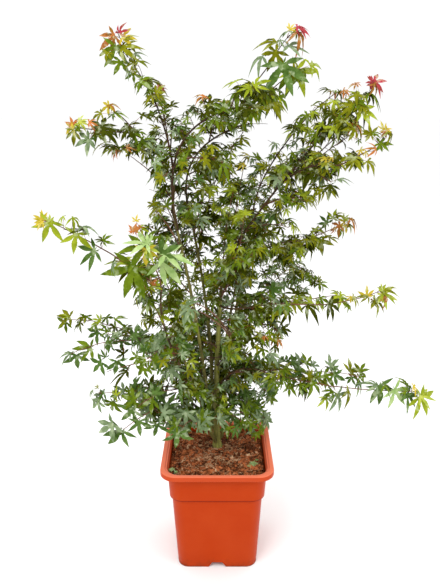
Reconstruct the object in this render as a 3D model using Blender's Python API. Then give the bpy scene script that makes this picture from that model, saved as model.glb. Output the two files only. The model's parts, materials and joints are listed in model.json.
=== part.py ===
"""A young Japanese maple growing in a square plastic pot.

Metres, Z up. The origin is the middle of the pot's flat underside, and the front faces -Y.
The pot is a tapered shell with a collar, a turned-down lip and a drain notch in each side.
Out of the soil rises a trunk with five stems that leave it low down, and boughs leave those.
Every mass of leaves is one shoot: a stem, paired side twigs, and star-shaped leaves fused on.
"""

import math
import random
from typing import NamedTuple, Optional

import bmesh
import bpy
from mathutils import Matrix, Vector
from mathutils.bvhtree import BVHTree

GAP = 0.0003            # between two solids that touch on the real plant
CLEARANCE = 0.0007      # that a twig or leaf keeps to every other solid
ROOT_CLEAR = 0.0025     # beyond its stem's skin, where a twig or leaf starts to keep clear
FLAT_FACE = 0.0001      # radians that a face may be bent and still stay whole
FLAT = 0.002            # radians between two faces that count as one flat face
SEED = 20
TINY = 1e-6             # a chord shorter than this has no heading

# --- pot ---------------------------------------------------------------------------------
POT_HEIGHT = 0.2706
WALL = 0.002
LIP_HALF = 0.130        # half of the width over the lip
LIP_DEPTH = 0.012
LIP_FLANGE = 0.0026     # thickness of the lip's flat top
LIP_INNER_HALF = 0.1205
COLLAR_TOP_HALF = 0.1145
COLLAR_FOOT_HALF = 0.1105
COLLAR_FOOT = 0.1935    # height where the collar steps in to the body
STEP_RISE = 0.002
BODY_TOP_HALF = 0.1055
BASE_HALF = 0.0945
EDGE = 0.0025           # rounding of the base and the lip
CORNER_SHARE = 0.28     # corner radius as a share of the half width
CORNER_STEPS = 4
NOTCH_FOOT = 0.043      # width of a drain notch at the ground
NOTCH_TOP = 0.024
NOTCH_HEIGHT = 0.014
NOTCH_REACH = 0.055     # how far it runs in under the floor
NOTCH_BELOW = 0.010     # how far its block starts under the ground
HUMP_FOOT = 0.0005      # height over the ground where the hump around it starts

# --- soil --------------------------------------------------------------------------------
SOIL_TOP = 0.252
SOIL_EDGE_DROP = 0.0015
SOIL_RELIEF = 0.0022
SOIL_RINGS = (0.80, 0.55, 0.32)   # shares of the way out from the trunk's foot
FOOT_PAD = 0.020        # radius of the flat patch under the trunk
FOOT = Vector((0.0, 0.035, SOIL_TOP + GAP))

# --- limbs -------------------------------------------------------------------------------
LIMB_STEP = 0.062       # length of one straight piece of a limb
MASS_STEP = 0.100
FLARE_HEIGHT = 0.030
FLARE = 0.45            # how much wider the trunk's foot is than the trunk
FLARE_POWER = 1.5
FLARE_BREAK = 0.4       # share of the flare's height where its outline bends
COLLAR_LEAD = 1.25      # a side limb's straight start, in its own radii


class Limb(NamedTuple):
    """A tapering limb. Its tip is given round the trunk's foot: heading in degrees, reach, height.

    at is the share of the parent's length where it leaves, and side the heading it leaves by.
    bow moves the middle of its curve: outward along the limb, sideways, and up.
    """

    name: str
    parent: Optional[str]
    at: float
    side: float
    heading: float
    reach: float
    height: float
    bow: tuple
    base: float
    tip: float
    sides: int = 6


LIMBS = (
    Limb("trunk", None, 0.0, 0, 288, 0.035, 0.690, (-0.010, -0.010, -0.010), 0.0090, 0.0036, 8),
    Limb("stem_front_left", "trunk", 0.045, 250, 247, 0.190, 0.580, (-0.010, 0.010, -0.045),
         0.0034, 0.0020),
    Limb("stem_outer_left", "trunk", 0.075, 200, 223, 0.125, 0.850, (0.035, 0.055, 0.075),
         0.0044, 0.0026),
    Limb("stem_right", "trunk", 0.055, 20, 47, 0.090, 0.705, (-0.025, 0.005, -0.075),
         0.0038, 0.0024),
    Limb("stem_back", "trunk", 0.085, 90, 53, 0.140, 0.810, (0.010, 0.055, -0.065),
         0.0040, 0.0024),
    Limb("stem_left", "trunk", 0.120, 155, 175, 0.060, 0.830, (-0.035, 0.010, -0.010),
         0.0048, 0.0026),
    Limb("bough_top_left", "stem_outer_left", 1.0, 0, 211, 0.145, 1.075, (-0.035, 0.0, -0.010),
         0.0024, 0.0015),
    Limb("bough_top", "stem_outer_left", 0.94, 300, 288, 0.140, 1.060, (-0.100, -0.045, 0.090),
         0.0023, 0.0016),
    Limb("bough_upper_left", "bough_top_left", 0.30, 220, 220, 0.240, 1.015, (0.005, 0.030, 0.050),
         0.0017, 0.0015),
    Limb("bough_crown", "stem_left", 1.0, 0, 328, 0.065, 1.025, (-0.095, -0.015, 0.045),
         0.0024, 0.0016),
    Limb("bough_shoulder", "trunk", 1.0, 0, 359, 0.205, 0.980, (-0.080, 0.020, -0.070),
         0.0033, 0.0020),
    Limb("bough_shoulder_back", "stem_back", 1.0, 0, 30, 0.190, 0.990, (-0.035, 0.005, -0.010),
         0.0022, 0.0015),
    Limb("bough_outer_right", "bough_shoulder", 0.72, 300, 332, 0.265, 0.950,
         (0.020, -0.035, 0.030), 0.0018, 0.0015),
    Limb("bough_right", "stem_right", 1.0, 0, 31, 0.200, 0.730, (-0.035, 0.010, 0.010),
         0.0022, 0.0015),
    Limb("bough_mid_right", "trunk", 0.86, 300, 313, 0.170, 0.665, (-0.010, -0.035, -0.010),
         0.0022, 0.0015),
    Limb("bough_low_right", "trunk", 0.40, 330, 322, 0.130, 0.490, (-0.005, -0.020, 0.045),
         0.0026, 0.0017),
    Limb("bough_left", "stem_outer_left", 0.18, 225, 248, 0.275, 0.730, (0.090, -0.030, 0.080),
         0.0028, 0.0018),
    Limb("bough_mid_left", "stem_outer_left", 0.35, 150, 165, 0.180, 0.520, (0.040, -0.050, 0.030),
         0.0020, 0.0015),
    Limb("bough_low_left", "stem_front_left", 0.24, 190, 225, 0.175, 0.470,
         (0.010, 0.015, 0.085), 0.0022, 0.0015),
    Limb("bough_back_left", "stem_left", 0.42, 120, 123, 0.245, 0.610, (0.045, -0.025, -0.050),
         0.0022, 0.0015),
    Limb("bough_back_right", "stem_back", 0.45, 60, 57, 0.255, 0.595, (0.025, 0.010, -0.025),
         0.0022, 0.0015),
    Limb("bough_front", "trunk", 0.52, 280, 278, 0.205, 0.625, (0.015, 0.015, 0.005),
         0.0022, 0.0015),
)

# --- masses of leaves --------------------------------------------------------------------
STEM_RADIUS = 0.0024    # over the corners of its three sides
TWIG_RADIUS = 0.0011
TIP_SHARE = 0.85        # radius at a shoot's tip, as a share of its base
LEAF_SHARE = 1.10       # leaf length as a share of its mass's spread
LEAF_LEAST = 0.056
LEAF_MOST = 0.094
LEAF_THICKNESS = 0.028  # of its length
STALK_SHARE = 0.40      # length of the leaf stalk, of the leaf's length
STALK_TAPER = 0.14      # size of the stalk's root, as a share of its end in the blade
LEAF_TRIES = 9
TRY_SLACK = 0.35        # how much wider each further try turns a leaf
FIRST_PAIR = 0.10       # shares of a stem between which its side twigs stand
LAST_PAIR = 0.92
TIP_PAIR = 60           # degrees that the last pair of leaves stands off a shoot's line
PAIR_BACK = 0.28        # how far behind the tip that pair leaves, in leaf lengths
PAIR_FIRST = 0.30       # but no nearer the shoot's start than this share of it
TIP_ROOM = 0.45         # leaf lengths left free between a stem's end and its mass's tip
TWIG_LEAST = 0.45       # a side twig shorter than this, in leaf lengths, is a leaf instead
SPACE_SHARE = 1.15      # a leaf stays within this many spreads of its stem, and a little more
SPACE_MORE = 0.020
TWIG_ROOM = (1.2, 0.5)  # reach of side twigs in spreads, at the stem's start and at its end
TWIG_SIZES = (0.5, 0.9)           # share of that room that a twig takes
TWIG_AHEAD = 0.55                 # how much a side twig leans along its stem
TWIG_ASIDE = (0.75, 1.15)
TWIG_LIFT = 0.45                  # how much every second pair leans up on one side
TWIG_SAG = 0.12                   # of its reach
UPRIGHT = 0.35                    # level part of a direction under which a stem counts as upright
UPRIGHT_TURN = 25                 # degrees
LEAF_SIZES = (0.86, 1.06)         # share of its mass's leaf length
LEAF_TURN = 14                    # degrees that a leaf is turned off its spot's direction
LEAF_RISE = (-0.10, 0.30)
LEAF_ROLLS = (-0.40, 0.40)
LEAF_BENDS = (15, 62)             # degrees between the stalk and the hanging blade


class Mass(NamedTuple):
    """A mass of leaves: one shoot, placed as a limb is, that fills the spread around its stem.

    pairs is the number of pairs of side twigs along that stem.
    """

    name: str
    parent: str
    at: float
    heading: float
    reach: float
    height: float
    spread: float
    pairs: int
    tint: str
    bow: tuple = (0.0, 0.0, 0.020)


MASSES = (
    Mass("tuft_top_left", "bough_top_left", 1.0, 206, 0.220, 1.215, 0.055, 3, "bronze",
         (0.0, 0.0, 0.0)),
    Mass("spray_left_shoulder", "bough_top_left", 0.55, 203, 0.090, 1.080, 0.065, 3, "deep"),
    Mass("spray_upper_left", "bough_upper_left", 1.0, 211, 0.325, 1.025, 0.055, 2, "fresh",
         (0.015, 0.0, 0.010)),
    Mass("tuft_upper_left", "bough_upper_left", 0.75, 217, 0.255, 1.065, 0.048, 2, "bronze",
         (0.0, 0.0, 0.0)),
    Mass("spray_under_left", "bough_top_left", 0.12, 184, 0.195, 0.970, 0.055, 2, "deep"),
    Mass("spray_crown_left", "bough_top", 0.42, 265, 0.235, 0.975, 0.080, 3, "deep"),
    Mass("tuft_top", "bough_top", 1.0, 313, 0.210, 1.220, 0.065, 3, "deep", (0.020, 0.0, 0.015)),
    Mass("tuft_crown_right", "bough_crown", 1.0, 313, 0.210, 1.095, 0.065, 3, "deep"),
    Mass("spray_crown", "bough_crown", 0.68, 12, 0.025, 1.080, 0.070, 3, "bronze"),
    Mass("spray_crown_middle", "bough_crown", 0.35, 51, 0.085, 0.925, 0.080, 3, "deep"),
    Mass("tuft_right_shoulder", "bough_shoulder", 1.0, 354, 0.335, 1.105, 0.060, 3, "bronze",
         (-0.005, 0.010, 0.025)),
    Mass("spray_shoulder_back", "bough_shoulder_back", 1.0, 18, 0.310, 1.105, 0.060, 3, "fresh"),
    Mass("tuft_outer_right", "bough_outer_right", 1.0, 337, 0.365, 1.015, 0.052, 3, "bronze",
         (0.010, 0.0, -0.030)),
    Mass("spray_outer_right", "bough_outer_right", 0.45, 325, 0.305, 0.905, 0.070, 3, "deep"),
    Mass("spray_shoulder", "bough_shoulder", 0.55, 337, 0.215, 0.875, 0.080, 3, "fresh"),
    Mass("spray_middle", "trunk", 0.93, 296, 0.195, 0.800, 0.080, 3, "deep"),
    Mass("tuft_left", "stem_outer_left", 0.70, 209, 0.195, 0.830, 0.060, 3, "fresh",
         (0.0, 0.0, 0.0)),
    Mass("spray_middle_left", "stem_outer_left", 0.88, 161, 0.140, 0.880, 0.070, 3, "deep"),
    Mass("spray_middle_back", "stem_back", 0.78, 78, 0.225, 0.870, 0.080, 3, "deep"),
    Mass("tuft_right", "bough_right", 1.0, 15, 0.325, 0.800, 0.058, 3, "fresh",
         (0.020, 0.005, -0.015)),
    Mass("spray_right_back", "bough_right", 0.55, 41, 0.375, 0.600, 0.075, 3, "deep"),
    Mass("tuft_mid_right", "bough_mid_right", 1.0, 337, 0.395, 0.700, 0.048, 4, "fresh",
         (0.055, 0.015, -0.050)),
    Mass("spray_mid_right", "bough_mid_right", 0.50, 315, 0.190, 0.580, 0.075, 3, "deep"),
    Mass("tuft_low_right", "bough_low_right", 1.0, 342, 0.490, 0.450, 0.055, 6, "fresh",
         (0.060, 0.005, -0.015)),
    Mass("spray_foot_right", "stem_right", 0.30, 27, 0.140, 0.300, 0.060, 2, "deep"),
    Mass("spray_foot", "trunk", 0.20, 300, 0.125, 0.380, 0.060, 3, "deep"),
    Mass("tuft_low_left", "bough_low_left", 1.0, 208, 0.310, 0.465, 0.055, 3, "deep",
         (0.025, 0.0, -0.025)),
    Mass("spray_low_left", "bough_low_left", 0.65, 230, 0.320, 0.420, 0.060, 3, "fresh"),
    Mass("spray_foot_left", "stem_front_left", 0.35, 250, 0.225, 0.420, 0.065, 2, "deep"),
    Mass("tuft_mid_left", "bough_mid_left", 1.0, 171, 0.400, 0.560, 0.052, 3, "fresh"),
    Mass("spray_mid_left", "bough_mid_left", 0.60, 189, 0.350, 0.520, 0.052, 3, "deep"),
    Mass("spray_low_middle_left", "stem_front_left", 1.0, 240, 0.295, 0.590, 0.070, 3, "deep"),
    Mass("tuft_far_left", "bough_left", 1.0, 223, 0.430, 0.870, 0.060, 3, "fresh",
         (0.030, 0.040, 0.050)),
    Mass("spray_front", "bough_front", 1.0, 262, 0.345, 0.745, 0.085, 3, "fresh"),
    Mass("spray_back_left", "bough_back_left", 1.0, 122, 0.360, 0.650, 0.085, 3, "deep"),
    Mass("spray_back_right", "bough_back_right", 1.0, 59, 0.400, 0.620, 0.085, 3, "deep"),
)

# --- finishes: colour and roughness ------------------------------------------------------
FINISHES = {
    "terracotta plastic": ((0.62, 0.075, 0.018), 0.42),
    "compost": ((0.060, 0.022, 0.012), 0.95),
    "bark": ((0.085, 0.062, 0.022), 0.75),
    "deep leaf": ((0.045, 0.105, 0.022), 0.55),
    "fresh leaf": ((0.120, 0.230, 0.030), 0.50),
    "bronze leaf": ((0.300, 0.110, 0.025), 0.50),
}


# --- meshes and objects ------------------------------------------------------------------
def finish(name):
    """Return the material of this name, made the first time it is asked for."""
    found = bpy.data.materials.get(name)
    if found:
        return found
    colour, roughness = FINISHES[name]
    material = bpy.data.materials.new(name)
    material.use_nodes = True
    shader = material.node_tree.nodes["Principled BSDF"]
    shader.inputs["Base Color"].default_value = (*colour, 1.0)
    shader.inputs["Roughness"].default_value = roughness
    shader.inputs["Metallic"].default_value = 0.0
    return material


def add_object(name, mesh, material, collection=None):
    """Link a mesh to the scene, or to a collection, as an object of this name."""
    item = bpy.data.objects.new(name, mesh)
    mesh.materials.clear()
    mesh.materials.append(finish(material))
    (collection or bpy.context.scene.collection).objects.link(item)
    return item


def mesh_of(name, points, faces):
    """Make a closed mesh, all facing out, from points and faces; bent faces are split."""
    made = bmesh.new()
    corners = [made.verts.new(point) for point in points]
    for face in faces:
        made.faces.new([corners[i] for i in face])
    bmesh.ops.connect_verts_nonplanar(made, angle_limit=FLAT_FACE, faces=made.faces)
    bmesh.ops.recalc_face_normals(made, faces=made.faces)
    mesh = bpy.data.meshes.new(name)
    made.to_mesh(mesh)
    made.free()
    return mesh


def skin(rings):
    """Faces that join rings of equally many points, the first and the last one closed."""
    count = len(rings[0])
    faces = [tuple(reversed(range(count)))]
    for row in range(len(rings) - 1):
        low, high = row * count, (row + 1) * count
        for i in range(count):
            j = (i + 1) % count
            faces.append((low + i, low + j, high + j, high + i))
    faces.append(tuple(range((len(rings) - 1) * count, len(rings) * count)))
    return [point for ring in rings for point in ring], faces


def apply_boolean(item, operation, other=None, collection=None):
    """Cut or join another object, or a collection of them, and remove what was used."""
    change = item.modifiers.new(operation.lower(), "BOOLEAN")
    change.operation = operation
    change.solver = "EXACT"
    if collection:
        change.operand_type = "COLLECTION"
        change.collection = collection
    else:
        change.object = other
    evaluated = item.evaluated_get(bpy.context.evaluated_depsgraph_get())
    result = bpy.data.meshes.new_from_object(evaluated)
    item.modifiers.clear()
    item.data = result
    for used in list(collection.objects) if collection else [other]:
        bpy.data.objects.remove(used)
    if collection:
        bpy.data.collections.remove(collection)


# --- pot and soil ------------------------------------------------------------------------
def rounded_square(half, height, centre=(0.0, 0.0)):
    """Ring of a square of this half width with rounded corners, at this height."""
    corner = half * CORNER_SHARE
    ring = []
    for quarter in range(4):
        middle = math.radians(45 + 90 * quarter)
        offset = (half - corner) * math.sqrt(2)
        x = centre[0] + offset * math.cos(middle)
        y = centre[1] + offset * math.sin(middle)
        for step in range(CORNER_STEPS + 1):
            turn = math.radians(90 * (quarter + step / CORNER_STEPS))
            ring.append(Vector((x + corner * math.cos(turn), y + corner * math.sin(turn), height)))
    return ring


def inner_profile(shrink):
    """Half width and height of the pot's inside from the floor up, drawn in by shrink."""
    return (
        (BASE_HALF - WALL - EDGE - shrink, WALL + shrink),
        (BASE_HALF - WALL - shrink, WALL + EDGE + shrink),
        (BODY_TOP_HALF - WALL - shrink, COLLAR_FOOT - STEP_RISE + shrink),
        (COLLAR_FOOT_HALF - WALL - shrink, COLLAR_FOOT + shrink),
    )


def collar_inside(height):
    """Half width of the collar's inner face at a height."""
    share = (height - COLLAR_FOOT) / (POT_HEIGHT - LIP_DEPTH - COLLAR_FOOT)
    return COLLAR_FOOT_HALF + (COLLAR_TOP_HALF - COLLAR_FOOT_HALF) * share - WALL


def notch_block(name, turn, swell, start):
    """A drain notch as a solid with sloping sides, running in from the pot's side."""
    foot, top = NOTCH_FOOT / 2 + swell, NOTCH_TOP / 2 + swell
    low, high = -NOTCH_BELOW, NOTCH_HEIGHT + swell
    grow = (foot - top) / high * NOTCH_BELOW
    section = ((-foot - grow, low), (foot + grow, low), (top, high), (-top, high))
    outer = LIP_HALF
    inner = start - NOTCH_REACH - swell
    place = Matrix.Rotation(turn, 3, "Z")
    rings = [[place @ Vector((x, -y, z)) for x, z in section] for y in (outer, inner)]
    return add_object(name, mesh_of(name, *skin(rings)), "terracotta plastic")


def build_pot():
    """The pot: outer and inner faces lofted as one shell, then humped and notched for drainage."""
    lip_foot = POT_HEIGHT - LIP_DEPTH
    flange = POT_HEIGHT - LIP_FLANGE
    outside = (
        (BASE_HALF - EDGE, 0.0),
        (BASE_HALF, EDGE),
        (BODY_TOP_HALF, COLLAR_FOOT - STEP_RISE),
        (COLLAR_FOOT_HALF, COLLAR_FOOT),
        (COLLAR_TOP_HALF, lip_foot),
        (COLLAR_TOP_HALF + EDGE / 2, flange),
        (LIP_HALF - EDGE, flange),
        (LIP_HALF - EDGE, lip_foot),
        (LIP_HALF, lip_foot),
        (LIP_HALF, POT_HEIGHT - EDGE),
        (LIP_HALF - EDGE, POT_HEIGHT),
    )
    inside = (
        (LIP_INNER_HALF, POT_HEIGHT),
        (LIP_INNER_HALF - EDGE, POT_HEIGHT - EDGE / 2),
        (collar_inside(lip_foot), lip_foot),
    )
    rings = [rounded_square(half, height) for half, height in outside + inside]
    rings += [rounded_square(half, height) for half, height in reversed(inner_profile(0.0))]
    pot = add_object("pot", mesh_of("pot", *skin(rings)), "terracotta plastic")
    for turn in range(4):
        hump = notch_block("hump", math.pi / 2 * turn, WALL, BASE_HALF)
        trim = mesh_of("trim", *skin([rounded_square(BASE_HALF - WALL / 2, HUMP_FOOT),
                                      rounded_square(BASE_HALF - WALL / 2, NOTCH_HEIGHT * 2)]))
        apply_boolean(hump, "INTERSECT", add_object("trim", trim, "terracotta plastic"))
        apply_boolean(pot, "UNION", hump)
    for turn in range(4):
        apply_boolean(pot, "DIFFERENCE", notch_block("notch", math.pi / 2 * turn, 0.0, BASE_HALF))
    return pot


def build_soil():
    """The compost: it fills the pot, lies a little uneven, and is flat under the trunk."""
    dice = random.Random(SEED)
    edge = SOIL_TOP - SOIL_EDGE_DROP
    rings = [rounded_square(half, height) for half, height in inner_profile(GAP)]
    rim = rounded_square(collar_inside(edge) - GAP, edge)
    rings.append(rim)
    pad = []
    for point in rim:
        away = Vector((point.x - FOOT.x, point.y - FOOT.y, 0.0)).normalized()
        pad.append(Vector((FOOT.x, FOOT.y, SOIL_TOP)) + away * FOOT_PAD)
    for share in SOIL_RINGS:
        ring = [near.lerp(far, share) for near, far in zip(pad, rim)]
        for point in ring:
            point.z = SOIL_TOP + dice.uniform(-SOIL_RELIEF, SOIL_RELIEF)
        rings.append(ring)
    rings.append(pad)
    soil = add_object("soil", mesh_of("soil", *skin(rings)), "compost")
    for turn in range(4):
        block = notch_block("hump", math.pi / 2 * turn, WALL + GAP, BASE_HALF)
        apply_boolean(soil, "DIFFERENCE", block)
    return soil


# --- limbs -------------------------------------------------------------------------------
class Path:
    """The middle line of a limb or shoot with its radii, and the ring of corners at each point."""

    def __init__(self, points, radii, sides, swell=0.0):
        self.points = points
        self.radii = [radius + swell for radius in radii]
        self.sides = sides
        self.rings = []
        across = None
        for i, point in enumerate(points):
            ahead = points[min(i + 1, len(points) - 1)] - points[min(i, len(points) - 2)]
            behind = points[max(i, 1)] - points[max(i - 1, 0)]
            way = (ahead.normalized() + behind.normalized()).normalized()
            if across is None:
                across = way.orthogonal().normalized()
            across = (across - way * across.dot(way)).normalized()
            over = way.cross(across)
            turns = (2 * math.pi * side / sides for side in range(sides))
            self.rings.append([point + (across * math.cos(a) + over * math.sin(a)) * self.radii[i]
                               for a in turns])

    def lengths(self):
        """Length of each straight piece."""
        return [(b - a).length for a, b in zip(self.points, self.points[1:])]

    def place(self, share):
        """The piece that holds this share of the whole length, and the share along that piece."""
        left = share * sum(self.lengths())
        for i, length in enumerate(self.lengths()):
            if left <= length:
                return i, left / length
            left -= length
        return len(self.points) - 2, 1.0

    def at(self, share):
        """Point, direction and radius at a share of the length."""
        i, s = self.place(share)
        way = (self.points[i + 1] - self.points[i]).normalized()
        radius = self.radii[i] + (self.radii[i + 1] - self.radii[i]) * s
        return self.points[i].lerp(self.points[i + 1], s), way, radius

    def facet(self, share, toward):
        """Middle and outward direction of the flat side there that best faces toward."""
        i, s = self.place(share)
        centre, way, radius = self.at(share)
        best = None
        for side in range(self.sides):
            other = (side + 1) % self.sides
            low = (self.rings[i][side] + self.rings[i][other]) / 2
            high = (self.rings[i + 1][side] + self.rings[i + 1][other]) / 2
            edge = self.rings[i][other] - self.rings[i][side]
            out = edge.cross(high - low).normalized()
            middle = low.lerp(high, s)
            if out.dot(middle - centre) < 0:
                out = -out
            if best is None or out.dot(toward) > best[1].dot(toward):
                best = (middle, out)
        return best

    def tip(self):
        """Point and direction at the end."""
        return self.points[-1], (self.points[-1] - self.points[-2]).normalized()

    def shape(self):
        """Points and faces of the closed tube."""
        return skin(self.rings)


def around_foot(heading, reach, height):
    """A point given by heading, reach and height round the trunk's foot."""
    turn = math.radians(heading)
    return Vector((FOOT.x + reach * math.cos(turn), FOOT.y + reach * math.sin(turn), height))


def curve(start, end, bow, step):
    """Points along a curve from start to end whose middle is bowed out, aside and up."""
    chord = end - start
    flat = Vector((chord.x, chord.y, 0.0))
    out = flat.normalized() if flat.length > TINY else Vector((1.0, 0.0, 0.0))
    aside = Vector((-out.y, out.x, 0.0))
    middle = (start + end) / 2 + out * bow[0] + aside * bow[1] + Vector((0.0, 0.0, bow[2]))
    count = max(2, round(chord.length / step))
    return [start * (1 - t) ** 2 + middle * 2 * t * (1 - t) + end * t ** 2
            for t in (i / count for i in range(count + 1))]


def spring(parent, at, toward, radius):
    """First two points of a limb or shoot: off the parent's tip or square off one flat side."""
    if at >= 1.0:
        point, way = parent.tip()
    else:
        point, way = parent.facet(at, toward)
    start = point + way * GAP
    return start, start + way * radius * COLLAR_LEAD


def limb_path(limb, paths, swell=0.0):
    """The path of a limb from its parent's surface to its tip."""
    end = around_foot(limb.heading, limb.reach, limb.height)
    if limb.parent is None:
        points = curve(FOOT, end, limb.bow, LIMB_STEP)
        rise = [FOOT + Vector((0, 0, FLARE_HEIGHT * share)) for share in (0.0, FLARE_BREAK)]
        points = rise + points[1:]
    else:
        turn = math.radians(limb.side)
        toward = Vector((math.cos(turn), math.sin(turn), 0.0))
        start, knee = spring(paths[limb.parent], limb.at, toward, limb.base)
        points = [start] + curve(knee, end, limb.bow, LIMB_STEP)
    radii = []
    for i, point in enumerate(points):
        share = i / (len(points) - 1)
        radius = limb.base + (limb.tip - limb.base) * share
        if limb.parent is None:
            rise = (point.z - FOOT.z) / FLARE_HEIGHT
            radius *= 1 + FLARE * max(0.0, 1 - rise) ** FLARE_POWER
        radii.append(radius)
    return Path(points, radii, limb.sides, swell)


# --- leaves and shoots -------------------------------------------------------------------
# The right half of a five-lobed leaf: angle from its middle line, and reach in leaf lengths.
LOBES = ((106, 0.58), (74, 0.34), (46, 0.88), (23, 0.40))
LEAF_SHOULDER = (0.045, 0.036)     # where the stalk meets the blade: back from its middle, aside
LEAF_DROOP = 0.14                  # how far a lobe's tip hangs, of its length


def leaf_shape(root, way, up, length, bend, swell=0.0, start=0.0):
    """Points and faces of one leaf: a three-sided stalk and a five-pointed blade.

    swell makes it larger all round, and start leaves out that much of the stalk from its root.
    """
    aside = up.cross(way).normalized()
    up = way.cross(aside).normalized()
    middle = root + way * (length * STALK_SHARE)
    ahead = Matrix.Rotation(bend, 3, aside) @ way
    above = Matrix.Rotation(bend, 3, aside) @ up
    half = length * LEAF_THICKNESS / 2 + swell
    back, wide = (share * length for share in LEAF_SHOULDER)
    outline = [(-back, wide + swell)]
    for angle, reach in LOBES:
        turn = math.radians(angle)
        outline.append(((length * reach + swell) * math.cos(turn),
                        (length * reach + swell) * math.sin(turn)))
    outline.append((length + swell, 0.0))
    outline += [(x, -y) for x, y in reversed(outline[:-1])]
    blade = [middle + ahead * x + aside * y - above * (x * x + y * y) / length * LEAF_DROOP
             for x, y in outline]
    end = (middle - above * half, blade[-1], blade[0])
    centre = (end[0] + end[1] + end[2]) / 3
    points = [root + way * start + (corner - centre) * STALK_TAPER for corner in end]
    points += [end[0], middle + above * half] + blade
    under, top, left, right = 3, 4, 5, 4 + len(blade)
    faces = [(0, 1, 2), (0, under, right, 1), (2, left, under, 0), (1, right, left, 2),
             (top, left, right)]
    for i in range(left, right):
        faces += [(top, i + 1, i), (under, i, i + 1)]
    return points, faces


class Crown:
    """All the solids that a new twig or leaf has to stay clear of."""

    def __init__(self):
        self.pieces = []

    @staticmethod
    def box(points):
        """Lowest and highest corner around points."""
        low = [min(point[i] for point in points) for i in range(3)]
        high = [max(point[i] for point in points) for i in range(3)]
        return low, high

    def add(self, shape):
        """Keep a solid that later ones have to clear."""
        self.pieces.append((*self.box(shape[0]), BVHTree.FromPolygons(*shape)))

    def clear(self, shape):
        """Whether a shape touches nothing that was added."""
        low, high = self.box(shape[0])
        tree = None
        for other_low, other_high, other in self.pieces:
            if any(low[i] > other_high[i] or high[i] < other_low[i] for i in range(3)):
                continue
            tree = tree or BVHTree.FromPolygons(*shape)
            if tree.overlap(other):
                return False
        return True


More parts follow.
